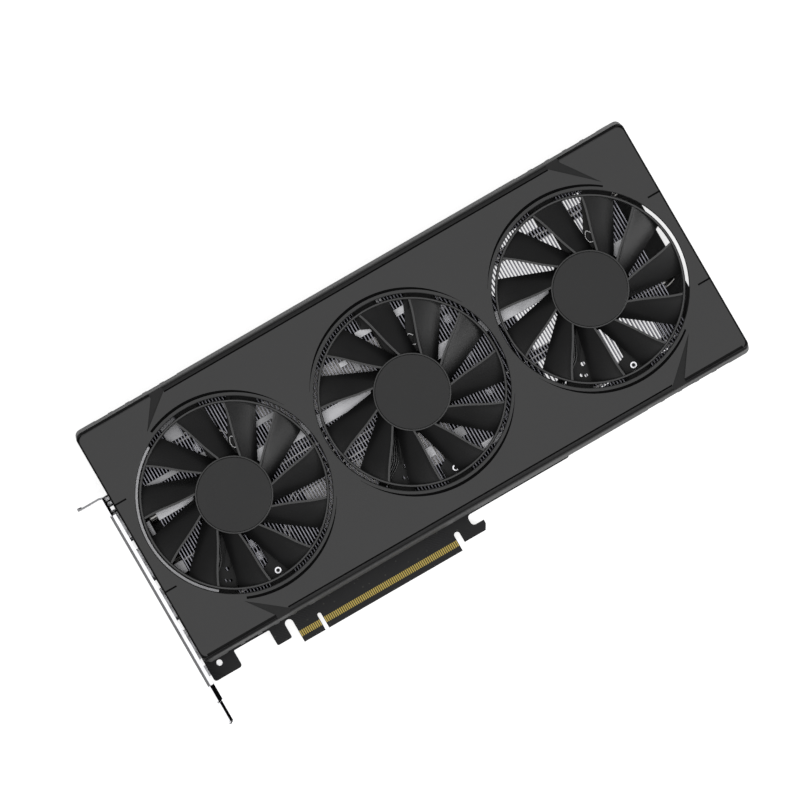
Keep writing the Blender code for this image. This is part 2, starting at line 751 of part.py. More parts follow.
def make_board(datum):
    board = add_piece("circuit_board", prism(board_outline(), BOARD_BOTTOM, BOARD_TOP), black_board(), datum)
    holes = bmesh.new()
    add_prism(holes, circle(TAB_HOLE, TAB_HOLE_RADIUS, 14), 0, BOARD_TOP + CUT_PAST)
    for spot in [*spring_corners(), *bracket_screw_spots(), *BACKPLATE_SCREWS[:2]]:
        add_prism(holes, circle(spot, SCREW_CLEARANCE, 10), 0, BOARD_TOP + CUT_PAST)
    cut(board, "board_holes", holes, datum)


def bracket_outline():
    """The bracket's plate seen from the end, as (Y, Z), with a shouldered tongue for each slot."""
    low, high = BRACKET_BOTTOM, BRACKET_BOTTOM + BRACKET_WIDTH
    points = [(BRACKET_TOP, low), (BRACKET_TOP, high), (BRACKET_SHOULDER, high)]
    for centre in reversed(TONGUE_CENTRES):
        half = TONGUE_WIDTH / 2
        slope = TONGUE_TIP + TONGUE_CHAMFER
        narrow = half - TONGUE_CHAMFER
        points += [(BRACKET_SHOULDER, centre + half), (slope, centre + half), (TONGUE_TIP, centre + narrow)]
        points += [(TONGUE_TIP, centre - narrow), (slope, centre - half), (BRACKET_SHOULDER, centre - half)]
    return points + [(BRACKET_SHOULDER, low)]


def socket_outline(width, inset):
    """A display socket's mouth as (Y, Z) about its centre, with two cut corners."""
    side, height, chamfer = width / 2 - inset, SOCKET_HEIGHT - inset, SOCKET_CHAMFER
    return [
        (-side + chamfer, inset),
        (side, inset),
        (side, height),
        (-side + chamfer, height),
        (-side, height - chamfer),
        (-side, inset + chamfer),
    ]


def shifted(outline, across, up):
    return [(x + across, y + up) for x, y in outline]


def bracket_screw_spots():
    return [(BRACKET_FACE + BRACKET_TAB_SCREW, y) for y in BRACKET_TAB_CENTRES]


def make_bracket(datum):
    inner = BRACKET_FACE + BRACKET_SHEET
    root = BRACKET_FACE + BRACKET_OVERLAP
    top = BRACKET_BOTTOM + BRACKET_WIDTH
    sheet = prism_along_x(bracket_outline(), BRACKET_FACE, inner)
    bracket = add_piece("bracket", sheet, bright_sheet(), datum)
    flange = box((FLANGE_TIP, BRACKET_TOP - BRACKET_SHEET, BRACKET_BOTTOM), (root, BRACKET_TOP, top))
    fuse(bracket, "bracket_flange", flange, datum)
    low_y, high_y = BRACKET_LIP_SPAN
    lip = box((root, low_y, top - BRACKET_SHEET), (BRACKET_FACE + BRACKET_LIP, high_y, top))
    fuse(bracket, "bracket_lip", lip, datum)

    tabs = bmesh.new()
    half = BRACKET_TAB_WIDTH / 2
    tip = BRACKET_FACE + BRACKET_TAB_LENGTH
    heights = (CHIP_BOTTOM, BOARD_BOTTOM - GAP - BRACKET_SHEET)
    for y, low in zip(BRACKET_TAB_CENTRES, heights):
        add_box(tabs, (root, y - half, low), (tip, y + half, low + BRACKET_SHEET))
    fuse(bracket, "bracket_tabs", tabs, datum)

    cut(bracket, "bracket_windows", bracket_windows(), datum)
    holes = bmesh.new()
    for spot in bracket_screw_spots():
        add_prism(holes, circle(spot, SCREW_CLEARANCE, 10), 0, CHIP_BOTTOM + BRACKET_SHEET + CUT_PAST)
    cut(bracket, "bracket_tab_holes", holes, datum)
    cut(bracket, "flange_notches", flange_notches(), datum)


def bracket_windows():
    """The display sockets' windows and a row of upright vents over them."""
    mesh = bmesh.new()
    low_x, high_x = BRACKET_FACE - CUT_PAST, BRACKET_FACE + BRACKET_SHEET + CUT_PAST
    for centre, width in zip(SOCKET_CENTRES, SOCKET_WIDTHS):
        add_prism(mesh, shifted(socket_outline(width, -GAP), centre, CHIP_BOTTOM), low_x, high_x)
    low, high = BRACKET_VENT
    for i in range(BRACKET_VENT_COUNT):
        y = BRACKET_VENT_FIRST + i * BRACKET_VENT_PITCH
        vent = rounded_rectangle((y, low), (y + BRACKET_VENT_WIDTH, high), BRACKET_VENT_CORNER, 1)
        add_prism(mesh, vent, low_x, high_x)
    mesh.transform(Matrix(((0, 0, 1, 0), (1, 0, 0, 0), (0, 1, 0, 0), (0, 0, 0, 1))))
    return mesh


def flange_notches():
    """Two open screw notches, one above each slot, cut in from the flange's tip."""
    mesh = bmesh.new()
    radius = FLANGE_NOTCH_WIDTH / 2
    for z in TONGUE_CENTRES:
        end = FLANGE_TIP + FLANGE_NOTCH_DEPTH - radius
        mouth = FLANGE_TIP - CUT_PAST
        outline = [(mouth, z - radius), *arc((end, z), radius, -90, 90, 6), (mouth, z + radius)]
        add_prism(mesh, outline, -BRACKET_TOP - CUT_PAST, -BRACKET_TOP + BRACKET_SHEET + CUT_PAST)
    mesh.transform(Matrix(((1, 0, 0, 0), (0, 0, -1, 0), (0, 1, 0, 0), (0, 0, 0, 1))))
    return mesh


def make_display_sockets(datum):
    """A folded shell with a blind socket in which a contact tongue stands."""
    mouth = BRACKET_FACE + GAP
    back = mouth + SOCKET_LENGTH
    for number, (centre, width) in enumerate(zip(SOCKET_CENTRES, SOCKET_WIDTHS), 1):
        place = (0, centre, CHIP_BOTTOM)
        name = f"display_socket_{number}"
        body = prism_along_x(socket_outline(width, 0), mouth, back)
        socket = add_piece(name, body, black_socket(), datum, place)
        hollow = prism_along_x(socket_outline(width, SOCKET_SHELL), mouth - CUT_PAST, mouth + SOCKET_DEPTH)
        cut(socket, f"{name}_hollow", hollow, datum, place)
        middle = SOCKET_HEIGHT / 2
        half = width / 2 - SOCKET_TONGUE_MARGIN
        low = (mouth + SOCKET_TONGUE_SETBACK, -half, middle - SOCKET_TONGUE / 2)
        high = (mouth + SOCKET_DEPTH + CUT_PAST, half, middle + SOCKET_TONGUE / 2)
        fuse(socket, f"{name}_tongue", box(low, high), datum, place)


def make_power_sockets(datum):
    """An eight-cell socket facing the card's top edge."""
    for number, x in enumerate(POWER_CENTRES, 1):
        name = f"power_socket_{number}"
        body = box((-POWER_WIDTH / 2, POWER_BACK, 0), (POWER_WIDTH / 2, POWER_MOUTH, POWER_HEIGHT))
        socket = add_piece(name, body, black_socket(), datum, (x, 0, CHIP_BOTTOM))
        cells = bmesh.new()
        for i in range(4):
            for j in range(2):
                left = (i - 1.5) * POWER_CELL_PITCH - POWER_CELL / 2
                low = POWER_HEIGHT / 2 + (j - 0.5) * POWER_CELL_PITCH - POWER_CELL / 2
                start = (left, POWER_MOUTH - POWER_CELL_DEPTH, low)
                end = (left + POWER_CELL, POWER_MOUTH + CUT_PAST, low + POWER_CELL)
                add_box(cells, start, end)
        cut(socket, f"{name}_cells", cells, datum, (x, 0, CHIP_BOTTOM))


def centred_box(size):
    return box((-size[0] / 2, -size[1] / 2, 0), (size[0] / 2, size[1] / 2, size[2]))


def make_chips(datum):
    package = centred_box((PACKAGE_SIDE, PACKAGE_SIDE, PACKAGE_THICKNESS))
    add_piece("gpu_package", package, green_laminate(), datum, (*GPU_CENTRE, CHIP_BOTTOM))
    add_piece("gpu_die", centred_box(DIE_SIZE), dark_silicon(), datum, (*GPU_CENTRE, DIE_BOTTOM))
    number = 0
    for side in (-1, 1):
        for row in (-1, 0, 1):
            number += 1
            x = GPU_CENTRE[0] + side * MEMORY_OFFSET[0]
            y = GPU_CENTRE[1] + row * MEMORY_OFFSET[1]
            chip = centred_box(MEMORY_SIZE)
            add_piece(f"memory_chip_{number}", chip, black_socket(), datum, (x, y, CHIP_BOTTOM))


def pipe_route(number):
    """A heatpipe runs straight through the fins and draws in to its neighbours over the cold plate."""
    spread = PIPE_MIDDLE + (number - 2.5) * -PIPE_PITCH
    gathered = GPU_CENTRE[1] + (number - 2.5) * -PIPE_GATHERED_PITCH
    half_plate = PLATE_SIZE[0] / 2
    left, right = GPU_CENTRE[0] - half_plate, GPU_CENTRE[0] + half_plate
    bend = [i / PIPE_POINTS for i in range(PIPE_POINTS + 1)]
    eased = [(1 - math.cos(math.pi * part)) / 2 for part in bend]
    route = [(PIPE_START, spread)]
    route += [(left - PIPE_BEND_LENGTH * (1 - p), blend(spread, gathered, e)) for p, e in zip(bend, eased)]
    route += [(right + PIPE_BEND_LENGTH * p, blend(gathered, spread, e)) for p, e in zip(bend, eased)]
    return route + [(PIPE_END, spread)]


def tube(route, height, radius, sides):
    """A capped tube along a level route."""
    mesh = bmesh.new()
    rings = []
    for i, point in enumerate(route):
        before = Vector(route[max(i - 1, 0)])
        after = Vector(route[min(i + 1, len(route) - 1)])
        along = (after - before).normalized()
        across = Vector((-along.y, along.x))
        ring = []
        for x, z in circle((0, 0), radius, sides):
            spot = Vector(point) + across * x
            ring.append(mesh.verts.new((spot.x, spot.y, height + z)))
        rings.append(ring)
    for first, second in zip(rings, rings[1:]):
        for j in range(sides):
            k = (j + 1) % sides
            mesh.faces.new((first[j], first[k], second[k], second[j]))
    mesh.faces.new(reversed(rings[0]))
    mesh.faces.new(rings[-1])
    return mesh


def fin_outline():
    """The fin stack's side view as (X, Z): a base with a comb of upright fins."""
    count = round((FIN_END - FIN_START) / FIN_PITCH)
    base_top = FIN_BOTTOM + FIN_BASE
    points = [(FIN_END, FIN_BOTTOM), (FIN_START, FIN_BOTTOM)]
    for i in range(count):
        left = FIN_START + i * FIN_PITCH
        points += [(left, FIN_TOP), (left + FIN_THICKNESS, FIN_TOP)]
        points += [(left + FIN_THICKNESS, base_top), (left + FIN_PITCH, base_top)]
    return points[:-1] + [(FIN_END, base_top)]


def make_cooler(datum):
    add_piece("cold_plate", centred_box(PLATE_SIZE), bare_copper(), datum, (*GPU_CENTRE, PLATE_BOTTOM))
    for number in (1, 2, 3, 4):
        pipe = tube(pipe_route(number), PIPE_HEIGHT, PIPE_RADIUS, PIPE_SIDES)
        add_piece(f"heatpipe_{number}", pipe, bare_aluminium(), datum)
    stack = prism(fin_outline(), -FIN_WIDTH / 2, FIN_WIDTH / 2)
    stack.transform(Matrix(((1, 0, 0, 0), (0, 0, -1, 0), (0, 1, 0, 0), (0, 0, 0, 1))))
    add_piece("fin_stack", stack, bare_aluminium(), datum)
    low, high = RAIL
    rail = box((*low, FIN_TOP + GAP), (*high, FIN_TOP + GAP + RAIL_THICKNESS))
    add_piece("fin_rail", rail, bare_aluminium(), datum)


def make_screw(name, x, y, shank_top, datum):
    """A screw driven upwards, its head at the bottom with a round driver recess."""
    recess = SCREW_HEAD_RADIUS * SCREW_RECESS_SHARE
    profile = [
        (0, SCREW_RECESS_DEPTH),
        (recess, SCREW_RECESS_DEPTH),
        (recess, 0),
        (SCREW_HEAD_RADIUS * SCREW_FLAT_SHARE, 0),
        (SCREW_HEAD_RADIUS, SCREW_RECESS_DEPTH),
        (SCREW_HEAD_RADIUS, SCREW_HEAD),
        (SCREW_SHANK_RADIUS, SCREW_HEAD),
        (SCREW_SHANK_RADIUS, shank_top),
        (0, shank_top),
    ]
    add_piece(name, lathe(profile, 16), plated_steel(), datum, (x, y, SCREW_SETBACK))


def make_spring(datum):
    """The crossed spring plate that pulls the cooler onto the board, and its four screws."""
    low = BACKPLATE_THICKNESS + GAP
    spring = bmesh.new()
    reach = SPRING_REACH * math.sqrt(2) + SPRING_WIDTH / 2
    half = SPRING_WIDTH / 2
    outline = []
    for angle in (45, 135, 225, 315):
        turn = Matrix.Rotation(math.radians(angle), 2)
        slope, narrow = reach - SPRING_CHAMFER, half - SPRING_CHAMFER
        arm = [(half, -half), (slope, -half), (reach, -narrow), (reach, narrow), (slope, half)]
        outline += [tuple(turn @ Vector(point)) for point in arm]
    add_prism(spring, outline, low, low + SPRING_THICKNESS)
    piece = add_piece("retention_spring", spring, plated_steel(), datum, (*GPU_CENTRE, 0))
    holes = bmesh.new()
    for x, y in spring_corners():
        add_prism(holes, circle((x, y), SCREW_CLEARANCE, 10), 0, BOARD_TOP)
    cut(piece, "spring_holes", holes, datum)
    for number, (x, y) in enumerate(spring_corners(), 1):
        make_screw(f"retention_screw_{number}", x, y, PLATE_BOTTOM - GAP, datum)


def make_backplate(datum):
    half = BACKPLATE_WIDTH / 2
    outline = rounded_rectangle((BACKPLATE_LEFT, -half), (BACKPLATE_RIGHT, half), BACKPLATE_CORNER)
    plate = add_piece("backplate", prism(outline, 0, BACKPLATE_THICKNESS), black_sheet(), datum)
    through = (-CUT_PAST, BACKPLATE_THICKNESS + CUT_PAST)
    cut(plate, "flow_window", prism(FLOW_WINDOW, *through), datum)
    holes = bmesh.new()
    for spot in spring_corners() + list(BACKPLATE_SCREWS):
        add_prism(holes, circle(spot, SCREW_HEAD_RADIUS + GAP, 16), *through)
    cut(plate, "backplate_holes", holes, datum)
    for number, (x, y) in enumerate(BACKPLATE_SCREWS, 1):
        make_screw(f"backplate_screw_{number}", x, y, FIN_BOTTOM - 2 * GAP, datum)


def make_bracket_screws(datum):
    """One screw down through the upper tab and one up through the lower tab."""
    radius, edge, crown = BRACKET_SCREW_HEAD
    (x, upper_y), (_, lower_y) = bracket_screw_spots()
    thin = BRACKET_SCREW_SHANK
    seat = CHIP_BOTTOM + BRACKET_SHEET + GAP
    shank = [(radius, seat), (thin, seat), (thin, BOARD_BOTTOM), (0, BOARD_BOTTOM)]
    upper = lathe([(0, seat + crown), (radius, seat + edge), *shank], 14)
    add_piece("bracket_screw_1", upper, plated_steel(), datum, (x, upper_y, 0))
    seat = BOARD_BOTTOM - 2 * GAP - BRACKET_SHEET
    tip = BOARD_TOP - GAP
    shank = [(radius, seat), (thin, seat), (thin, tip), (0, tip)]
    lower = lathe([(0, seat - crown), (radius, seat - edge), *shank], 14)
    add_piece("bracket_screw_2", lower, plated_steel(), datum, (x, lower_y, 0))


def build():
    clear_scene()
    datum = make_datum()
    make_shroud(datum)
    for number, x in enumerate(fan_positions(), 1):
        make_rotor(number, x, datum)
        make_motor(number, x, datum)
        make_fan_frame(number, x, datum)
    make_board(datum)
    make_bracket(datum)
    make_display_sockets(datum)
    make_power_sockets(datum)
    make_chips(datum)
    make_cooler(datum)
    make_spring(datum)
    make_backplate(datum)
    make_bracket_screws(datum)


build()
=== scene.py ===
import json
import math

import bmesh
import bpy
from mathutils import Matrix, Vector


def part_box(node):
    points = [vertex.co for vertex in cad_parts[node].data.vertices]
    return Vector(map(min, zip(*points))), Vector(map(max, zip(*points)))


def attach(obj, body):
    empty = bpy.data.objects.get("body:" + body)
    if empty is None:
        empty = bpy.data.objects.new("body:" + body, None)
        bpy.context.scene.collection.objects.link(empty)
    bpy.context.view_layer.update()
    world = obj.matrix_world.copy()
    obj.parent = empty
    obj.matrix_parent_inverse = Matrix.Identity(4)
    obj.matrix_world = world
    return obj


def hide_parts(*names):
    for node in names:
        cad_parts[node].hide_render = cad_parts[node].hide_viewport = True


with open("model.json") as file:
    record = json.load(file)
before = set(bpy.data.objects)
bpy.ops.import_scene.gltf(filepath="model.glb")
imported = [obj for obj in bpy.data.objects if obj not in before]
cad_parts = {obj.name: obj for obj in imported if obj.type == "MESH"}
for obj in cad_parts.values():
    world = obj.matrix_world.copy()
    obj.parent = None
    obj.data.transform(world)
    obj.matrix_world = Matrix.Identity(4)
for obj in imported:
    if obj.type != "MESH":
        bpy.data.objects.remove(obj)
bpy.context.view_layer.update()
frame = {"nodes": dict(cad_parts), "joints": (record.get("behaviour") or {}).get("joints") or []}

# Sizes below are millimetres in the card's own layout: the middle fan turns about x = 0, y = 0, the
# backplate's outer face is z = 0, +X runs away from the slot bracket and +Y away from the edge connector.
MM = 0.001
AXES = {joint["name"]: Vector(joint["pos_m"]) for joint in frame["joints"]}
DATUM = Vector((AXES["fan_2_spin"].x, AXES["fan_2_spin"].y, 0))


def extent(node):
    """A CAD node's lowest and highest corners in layout millimetres."""
    low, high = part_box(node)
    return (low - DATUM) / MM, (high - DATUM) / MM


SHROUD_LOW, SHROUD_HIGH = extent("shroud")
BOARD_LOW, BOARD_HIGH = extent("circuit_board")
BRACKET_LOW, BRACKET_HIGH = extent("bracket")
FIN_LOW, FIN_HIGH = extent("fin_stack")
PLATE_LOW, PLATE_HIGH = extent("cold_plate")
FAN_X = [(AXES[f"fan_{n}_spin"].x - DATUM.x) / MM for n in (1, 2, 3)]
TOP = SHROUD_HIGH.z
HALF_LENGTH = SHROUD_HIGH.x
HALF_WIDTH = SHROUD_HIGH.y

# Shroud
WALL = 2.0
FACE_EDGE = 57.7
FACE_ROUNDING = 2.0
END_ROUNDING = 1.0
SHROUD_CORNER = 3.0
SLOPE_FOOT = 26.0
OPENING_RADIUS = 45.2
LIP_ROUNDING = 0.5
LIP_OUTER = 46.9
CRESCENT_RADIUS = 45.5
CRESCENT_SHIFT = 2.8
CRESCENT_DEPTH = 1.7
CRESCENT_ENDS = ((113, 31), (150, 31), (150, 53))
CHEVRON_DEPTH = 0.6
LEFT_CHEVRON = ((-114.3, 44.5), (-98.3, 57.2), (-98.3, 64.0), (-105.1, 64.0), (-105.1, 57.2))
RIGHT_CHEVRON = ((123.0, 39.9), (110.8, 57.2), (110.8, 64.0), (104.5, 64.0), (104.5, 57.2))
EDGE_STRIP = (-98.3, 104.5)
SEAM_OFFSET = 23.0
SEAM_LENGTH = 6.6
SEAM_WIDTH = 0.8
PARTING = ((58.4, 59.6, 1.9), (-58.3, -57.0, 1.3))
VENT_FIRST = 129.5
VENT_PITCH = 9.1
VENT_WIDTH = 7.0
VENT_SPAN = (11.0, 30.0)
WINDOW_PITCH = 28.0
WINDOW_WIDTH = 24.0
WINDOW_SPAN = (9.0, 24.0)
# Cut-outs in the walls for the display sockets and the power plugs: from, to and height.
SOCKET_RECESS = (-60.5, 31.0, 12.4)
PLUG_RECESS = (4.5, 49.0, 17.6)

# Fans
PHASES = (90.0, 85.3, 88.7)
RING_INNER = 42.4
RING_OUTER = 43.7
RING_SPAN = (33.2, 39.6)
HUB_RADIUS = 18.0
CAP_RADIUS = 17.3
HUB_SPAN = (32.2, 40.6)
BLADES = 11
ROOT_ANGLES = (-37.5, -6.8)
TIP_ANGLES = (-10.2, 10.2)
ROOT_HEIGHTS = (33.4, 39.2)
TIP_HEIGHTS = (34.1, 38.7)
BLADE_CHORDS = (8.9, 15.3)
RIM_WIDTH = 1.0
FRAME_SPAN = (28.9, 30.4)
WAVY_EDGE = ((16.5, 3.0), (24.3, 5.3), (32.3, 6.2), (41.8, 8.0), (48.5, 7.8))
ARM_HOLES = (((34.3, 0.4), 1.0), ((39.6, 0.3), 0.75), ((39.4, 2.5), 0.75))
# Each arm: its angle, its half width by the motor, its other edge if that one differs, and its holes.
ARMS = ((90.0, 2.2, (), ()), (55.0, 2.2, WAVY_EDGE, ()), (-90.0, 2.2, (), ()), (-126.0, 4.5, (), ARM_HOLES))
POST = ((46.3, -5.75), (48.1, 5.75))
DUCT_RADIUS = 44.0
DUCT_SPAN = (121, 231)
LEAD_WALL = -57.6
RIVET_OFFSET = 40.1
LEAD_RADIUS = 0.45
LEAD_PITCH = 0.95

# Cooler
FIN_PITCH = 1.5
FIN_SHEET = 0.3
FIN_FOLD = 0.46
FIN_FOOT = 10.2
FOOT_OVER_SOCKETS = 15.6
PIPE_RADIUS = 3.0
PIPE_ROWS = (33.8, 9.7, -14.3, -38.4)
PIPE_GATHERED = 6.6
PIPE_BEND = 30.0
PIPE_STUB = 4.6
# Plates on top of the fins: left, right, bottom and top.
BRIGHT_TIES = (
    (-8.0, -4.5, -30.4, -25.6), (-22.9, -19.1, 25.8, 28.3), (-9.7, 18.0, 33.3, 36.7),
    (15.5, 26.5, -39.2, -36.2), (6.2, 7.4, 43.2, 45.1), (7.8, 9.0, 43.2, 45.1),
)
DULL_TIES = (
    (-108.8, -100.9, 35.2, 45.2), (-128.2, -59.5, 21.6, 24.2), (-17.5, -14.7, 20.5, 25.5),
    (7.5, 12.3, -29.3, -24.5),
)

# Board
FINGER_EDGE = -75.15
FINGER_FIELDS = ((-94.975, 11), (-51.925, 71))
FINGER_SPAN = (-72.4, -69.5)
BOARD_EDGE = -62.25
TAB_EDGE = -70.5
HOOK_EDGE = -72.2
SPRING_REACH = 30.0
CHIP_CENTRE = (-30.0, -2.0)
SCREW_HOLE = 1.7
CELL_PITCH = 4.2

# Bracket
BRACKET_LOW_FACE = -148.4
SHEET = 0.86
BRACKET_BEND_Y = 28.34
LIP_BEND = 1.3
LIP_SPAN = (-70.3, 19.4)
SHOULDER = -79.2
TONGUES = (9.2, 29.5)
TONGUE_WIDTH = 10.2
NOTCH_RADIUS = 2.2
BRACKET_TABS = (26.4, -64.2)
TAB_HOLE_X = BRACKET_LOW_FACE + 5.6

# Backplate
WINDOW = (
    (54.6, -42.0), (58.6, -6.0), (58.6, 12.0), (54.6, 20.0), (54.6, 41.5), (113.0, 41.5), (113.0, -42.0),
)
LOUVRE_PITCH = 12.0
BACK_SCREWS = ((-133.0, 52.0), (-133.0, -52.0), (126.0, 52.0), (126.0, -52.0))


# ---- shapes ----

def blend(first, last, part):
    return first + (last - first) * part


def polar(radius, angle):
    return Vector((radius * math.cos(math.radians(angle)), radius * math.sin(math.radians(angle))))


def arc(centre, radius, start, end, steps):
    """Points along an arc, with angles in degrees."""
    angles = [math.radians(start + (end - start) * i / steps) for i in range(steps + 1)]
    return [(centre[0] + radius * math.cos(a), centre[1] + radius * math.sin(a)) for a in angles]


def circle(centre, radius, sides):
    return arc(centre, radius, 0, 360, sides)[:-1]


def rounded(low, high, radius, steps=4):
    """The outline of a rectangle with round corners."""
    corners = (
        ((high[0] - radius, high[1] - radius), 0),
        ((low[0] + radius, high[1] - radius), 90),
        ((low[0] + radius, low[1] + radius), 180),
        ((high[0] - radius, low[1] + radius), 270),
    )
    return [spot for centre, start in corners for spot in arc(centre, radius, start, start + 90, steps)]


def skin(mesh, rings, close_ends=True, loop=False):
    """Joins rings of the same length with quads."""
    count = len(rings[0])
    pairs = list(zip(rings, rings[1:])) + ([(rings[-1], rings[0])] if loop else [])
    for first, second in pairs:
        for j in range(count):
            k = (j + 1) % count
            corners = list(dict.fromkeys((first[j], first[k], second[k], second[j])))
            if len(corners) > 2:
                mesh.faces.new(corners)
    if close_ends and not loop:
        for ring in (rings[0], rings[-1]):
            if len(set(ring)) > 2:
                mesh.faces.new(ring)
    return mesh


def prism(outline, low, high, mesh=None):
    """An outline raised from one level to another, on its own or in a mesh; box and lathe work alike."""
    mesh = bmesh.new() if mesh is None else mesh
    return skin(mesh, [[mesh.verts.new((x, y, z)) for x, y in outline] for z in (low, high)])


ALONG_X = Matrix(((0, 0, 1, 0), (1, 0, 0, 0), (0, 1, 0, 0), (0, 0, 0, 1)))
ALONG_Y = Matrix(((1, 0, 0, 0), (0, 0, -1, 0), (0, 1, 0, 0), (0, 0, 0, 1)))
ALONG_Y_BACK = Matrix(((1, 0, 0, 0), (0, 0, 1, 0), (0, -1, 0, 0), (0, 0, 0, 1)))


def turned(mesh, matrix):
    mesh.transform(matrix)
    return mesh


def bar(outline, low, high, matrix=ALONG_X):
    """A prism that lies along X, or along another axis, from its outline in the plane across it."""
    return turned(prism(outline, low, high), matrix)


def add_ring_prism(mesh, outer, inner, low, high):
    """A frame between two outlines with the same number of points."""
    levels = ((outer, low), (outer, high), (inner, high), (inner, low))
    skin(mesh, [[mesh.verts.new((x, y, z)) for x, y in outline] for outline, z in levels], loop=True)


def box(low, high, mesh=None):
    outline = [(low[0], low[1]), (high[0], low[1]), (high[0], high[1]), (low[0], high[1])]
    return prism(outline, low[2], high[2], mesh)


def lathe(profile, sides, centre=(0, 0), mesh=None):
    """Turns a closed (radius, height) profile about a vertical axis."""
    mesh = bmesh.new() if mesh is None else mesh
    rings = []
    for radius, height in profile:
        if radius == 0:
            rings.append([mesh.verts.new((*centre, height))] * sides)
        else:
            rings.append([mesh.verts.new((x, y, height)) for x, y in circle(centre, radius, sides)])
    return skin(mesh, rings, loop=True)


def smooth_path(knots, steps):
    """A smooth curve through every knot."""
    points = [Vector(knot) for knot in (knots[0], *knots, knots[-1])]
    path = []
    for before, first, second, after in zip(points, points[1:], points[2:], points[3:]):
        for i in range(steps):
            t = i / steps
            bend = (2 * before - 5 * first + 4 * second - after) * t
            bend += (3 * first - before - 3 * second + after) * t * t
            path.append(first + (second - before + bend) * t / 2)
    return path + [points[-1]]


def add_tube(mesh, path, radii, sides):
    """A closed tube along a path; radii is one radius or one for each point."""
    if not isinstance(radii, (list, tuple)):
        radii = [radii] * len(path)
    rings = []
    upright = Vector((0, 0, 1))
    for i, point in enumerate(path):
        along = (path[min(i + 1, len(path) - 1)] - path[max(i - 1, 0)]).normalized()
        if abs(along.dot(upright)) > 0.99:
            upright = along.orthogonal()
        upright = (upright - along * upright.dot(along)).normalized()
        across = along.cross(upright)
        section = circle((0, 0), radii[i], sides)
        rings.append([mesh.verts.new(point + across * x + upright * y) for x, y in section])
    return skin(mesh, rings)


def add_arc_strip(mesh, profile, start, end, steps):
    """Sweeps a closed (radius, height) profile round part of a circle."""
    rings = []
    for i in range(steps + 1):
        turn = math.radians(blend(start, end, i / steps))
        rings.append([mesh.verts.new((r * math.cos(turn), r * math.sin(turn), z)) for r, z in profile])
    return skin(mesh, rings)


def outward(mesh):
    """Turns every face's normal outwards."""
    bmesh.ops.recalc_face_normals(mesh, faces=mesh.faces)
    return mesh


def add_object(name, data):
    made = bpy.data.objects.new(name, data)
    bpy.context.scene.collection.objects.link(made)
    return made


def stored(name, mesh):
    """Writes a mesh into Blender's data; the mesh is used up."""
    data = bpy.data.meshes.new(name)
    mesh.to_mesh(data)
    mesh.free()
    return data


def copies(part, spots):
    """The same small part set down at every spot."""
    data = stored("part", part)
    mesh = bmesh.new()
    for spot in spots:
        first = len(mesh.verts)
        mesh.from_mesh(data)
        mesh.verts.ensure_lookup_table()
        bmesh.ops.translate(mesh, vec=spot, verts=mesh.verts[first:])
    bpy.data.meshes.remove(data)
    return mesh


def merge(mesh, other):
    """Adds another mesh's shells to the first; the other is used up."""
    data = stored("shells", other)
    mesh.from_mesh(data)
    bpy.data.meshes.remove(data)
    return mesh


def soften(mesh, width, segments=2, angle=35, only=None):
    """Rounds the edges that are sharper than an angle."""
    limit = math.radians(angle)
    edges = [e for e in outward(mesh).edges if len(e.link_faces) == 2 and e.calc_face_angle(0) > limit]
    if only:
        edges = [e for e in edges if only(e)]
    bmesh.ops.bevel(
        mesh, geom=edges, offset=width, offset_type='OFFSET', segments=segments, profile=0.5,
        affect='EDGES', clamp_overlap=True,
    )
    return mesh


def block(low, high, width, segments=1):
    """A box with broken edges."""
    return soften(box(low, high), width, segments)


def carve(mesh, tool, operation='DIFFERENCE'):
    """The Boolean result of two closed meshes; both are used up."""
    solid = add_object("solid", stored("solid", outward(mesh)))
    cutter = add_object("cutter", stored("cutter", outward(tool)))
    modifier = solid.modifiers.new("carve", 'BOOLEAN')
    modifier.operation = operation
    modifier.solver = 'EXACT'
    modifier.use_self = True
    modifier.object = cutter
    result = bmesh.new()
    result.from_object(solid, bpy.context.evaluated_depsgraph_get())
    for used in (solid, cutter):
        data = used.data
        bpy.data.objects.remove(used)
        bpy.data.meshes.remove(data)
    return result


def add_piece(name, mesh, finishes, replaced=(), place=(0, 0, 0), smooth=40, choose=None, body="card"):
    """Makes a named piece from a millimetre mesh and lets it ride on a body."""
    outward(mesh)
    if choose:
        for face in mesh.faces:
            face.material_index = choose(face)
    mesh.transform(Matrix.Translation(DATUM) @ Matrix.Scale(MM, 4) @ Matrix.Translation(place))
    data = stored(name, mesh)
    data.shade_smooth()
    data.set_sharp_from_angle(angle=math.radians(smooth))
    for finish in (finishes if isinstance(finishes, tuple) else (finishes,)):
        data.materials.append(finish)
    made = add_object(name, data)
    made.modifiers.new("even_shading", 'WEIGHTED_NORMAL').keep_sharp = True
    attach(made, body)
    if replaced:
        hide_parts(*replaced)


# ---- finishes ----

class Wire:
    """One shader socket; arithmetic on it adds the matching Math nodes."""

    def __init__(self, finish, socket):
        self.finish = finish
        self.socket = socket

    def maths(self, operation, first, second):
        return self.finish.node("Math", {"operation": operation}, {0: first, 1: second})

    def __add__(self, other):
        return self.maths('ADD', self, other)

    def __radd__(self, other):
        return self.maths('ADD', other, self)

    def __sub__(self, other):
        return self.maths('SUBTRACT', self, other)

    def __rsub__(self, other):
        return self.maths('SUBTRACT', other, self)

    def __mul__(self, other):
        return self.maths('MULTIPLY', self, other)

    def __rmul__(self, other):
        return self.maths('MULTIPLY', other, self)


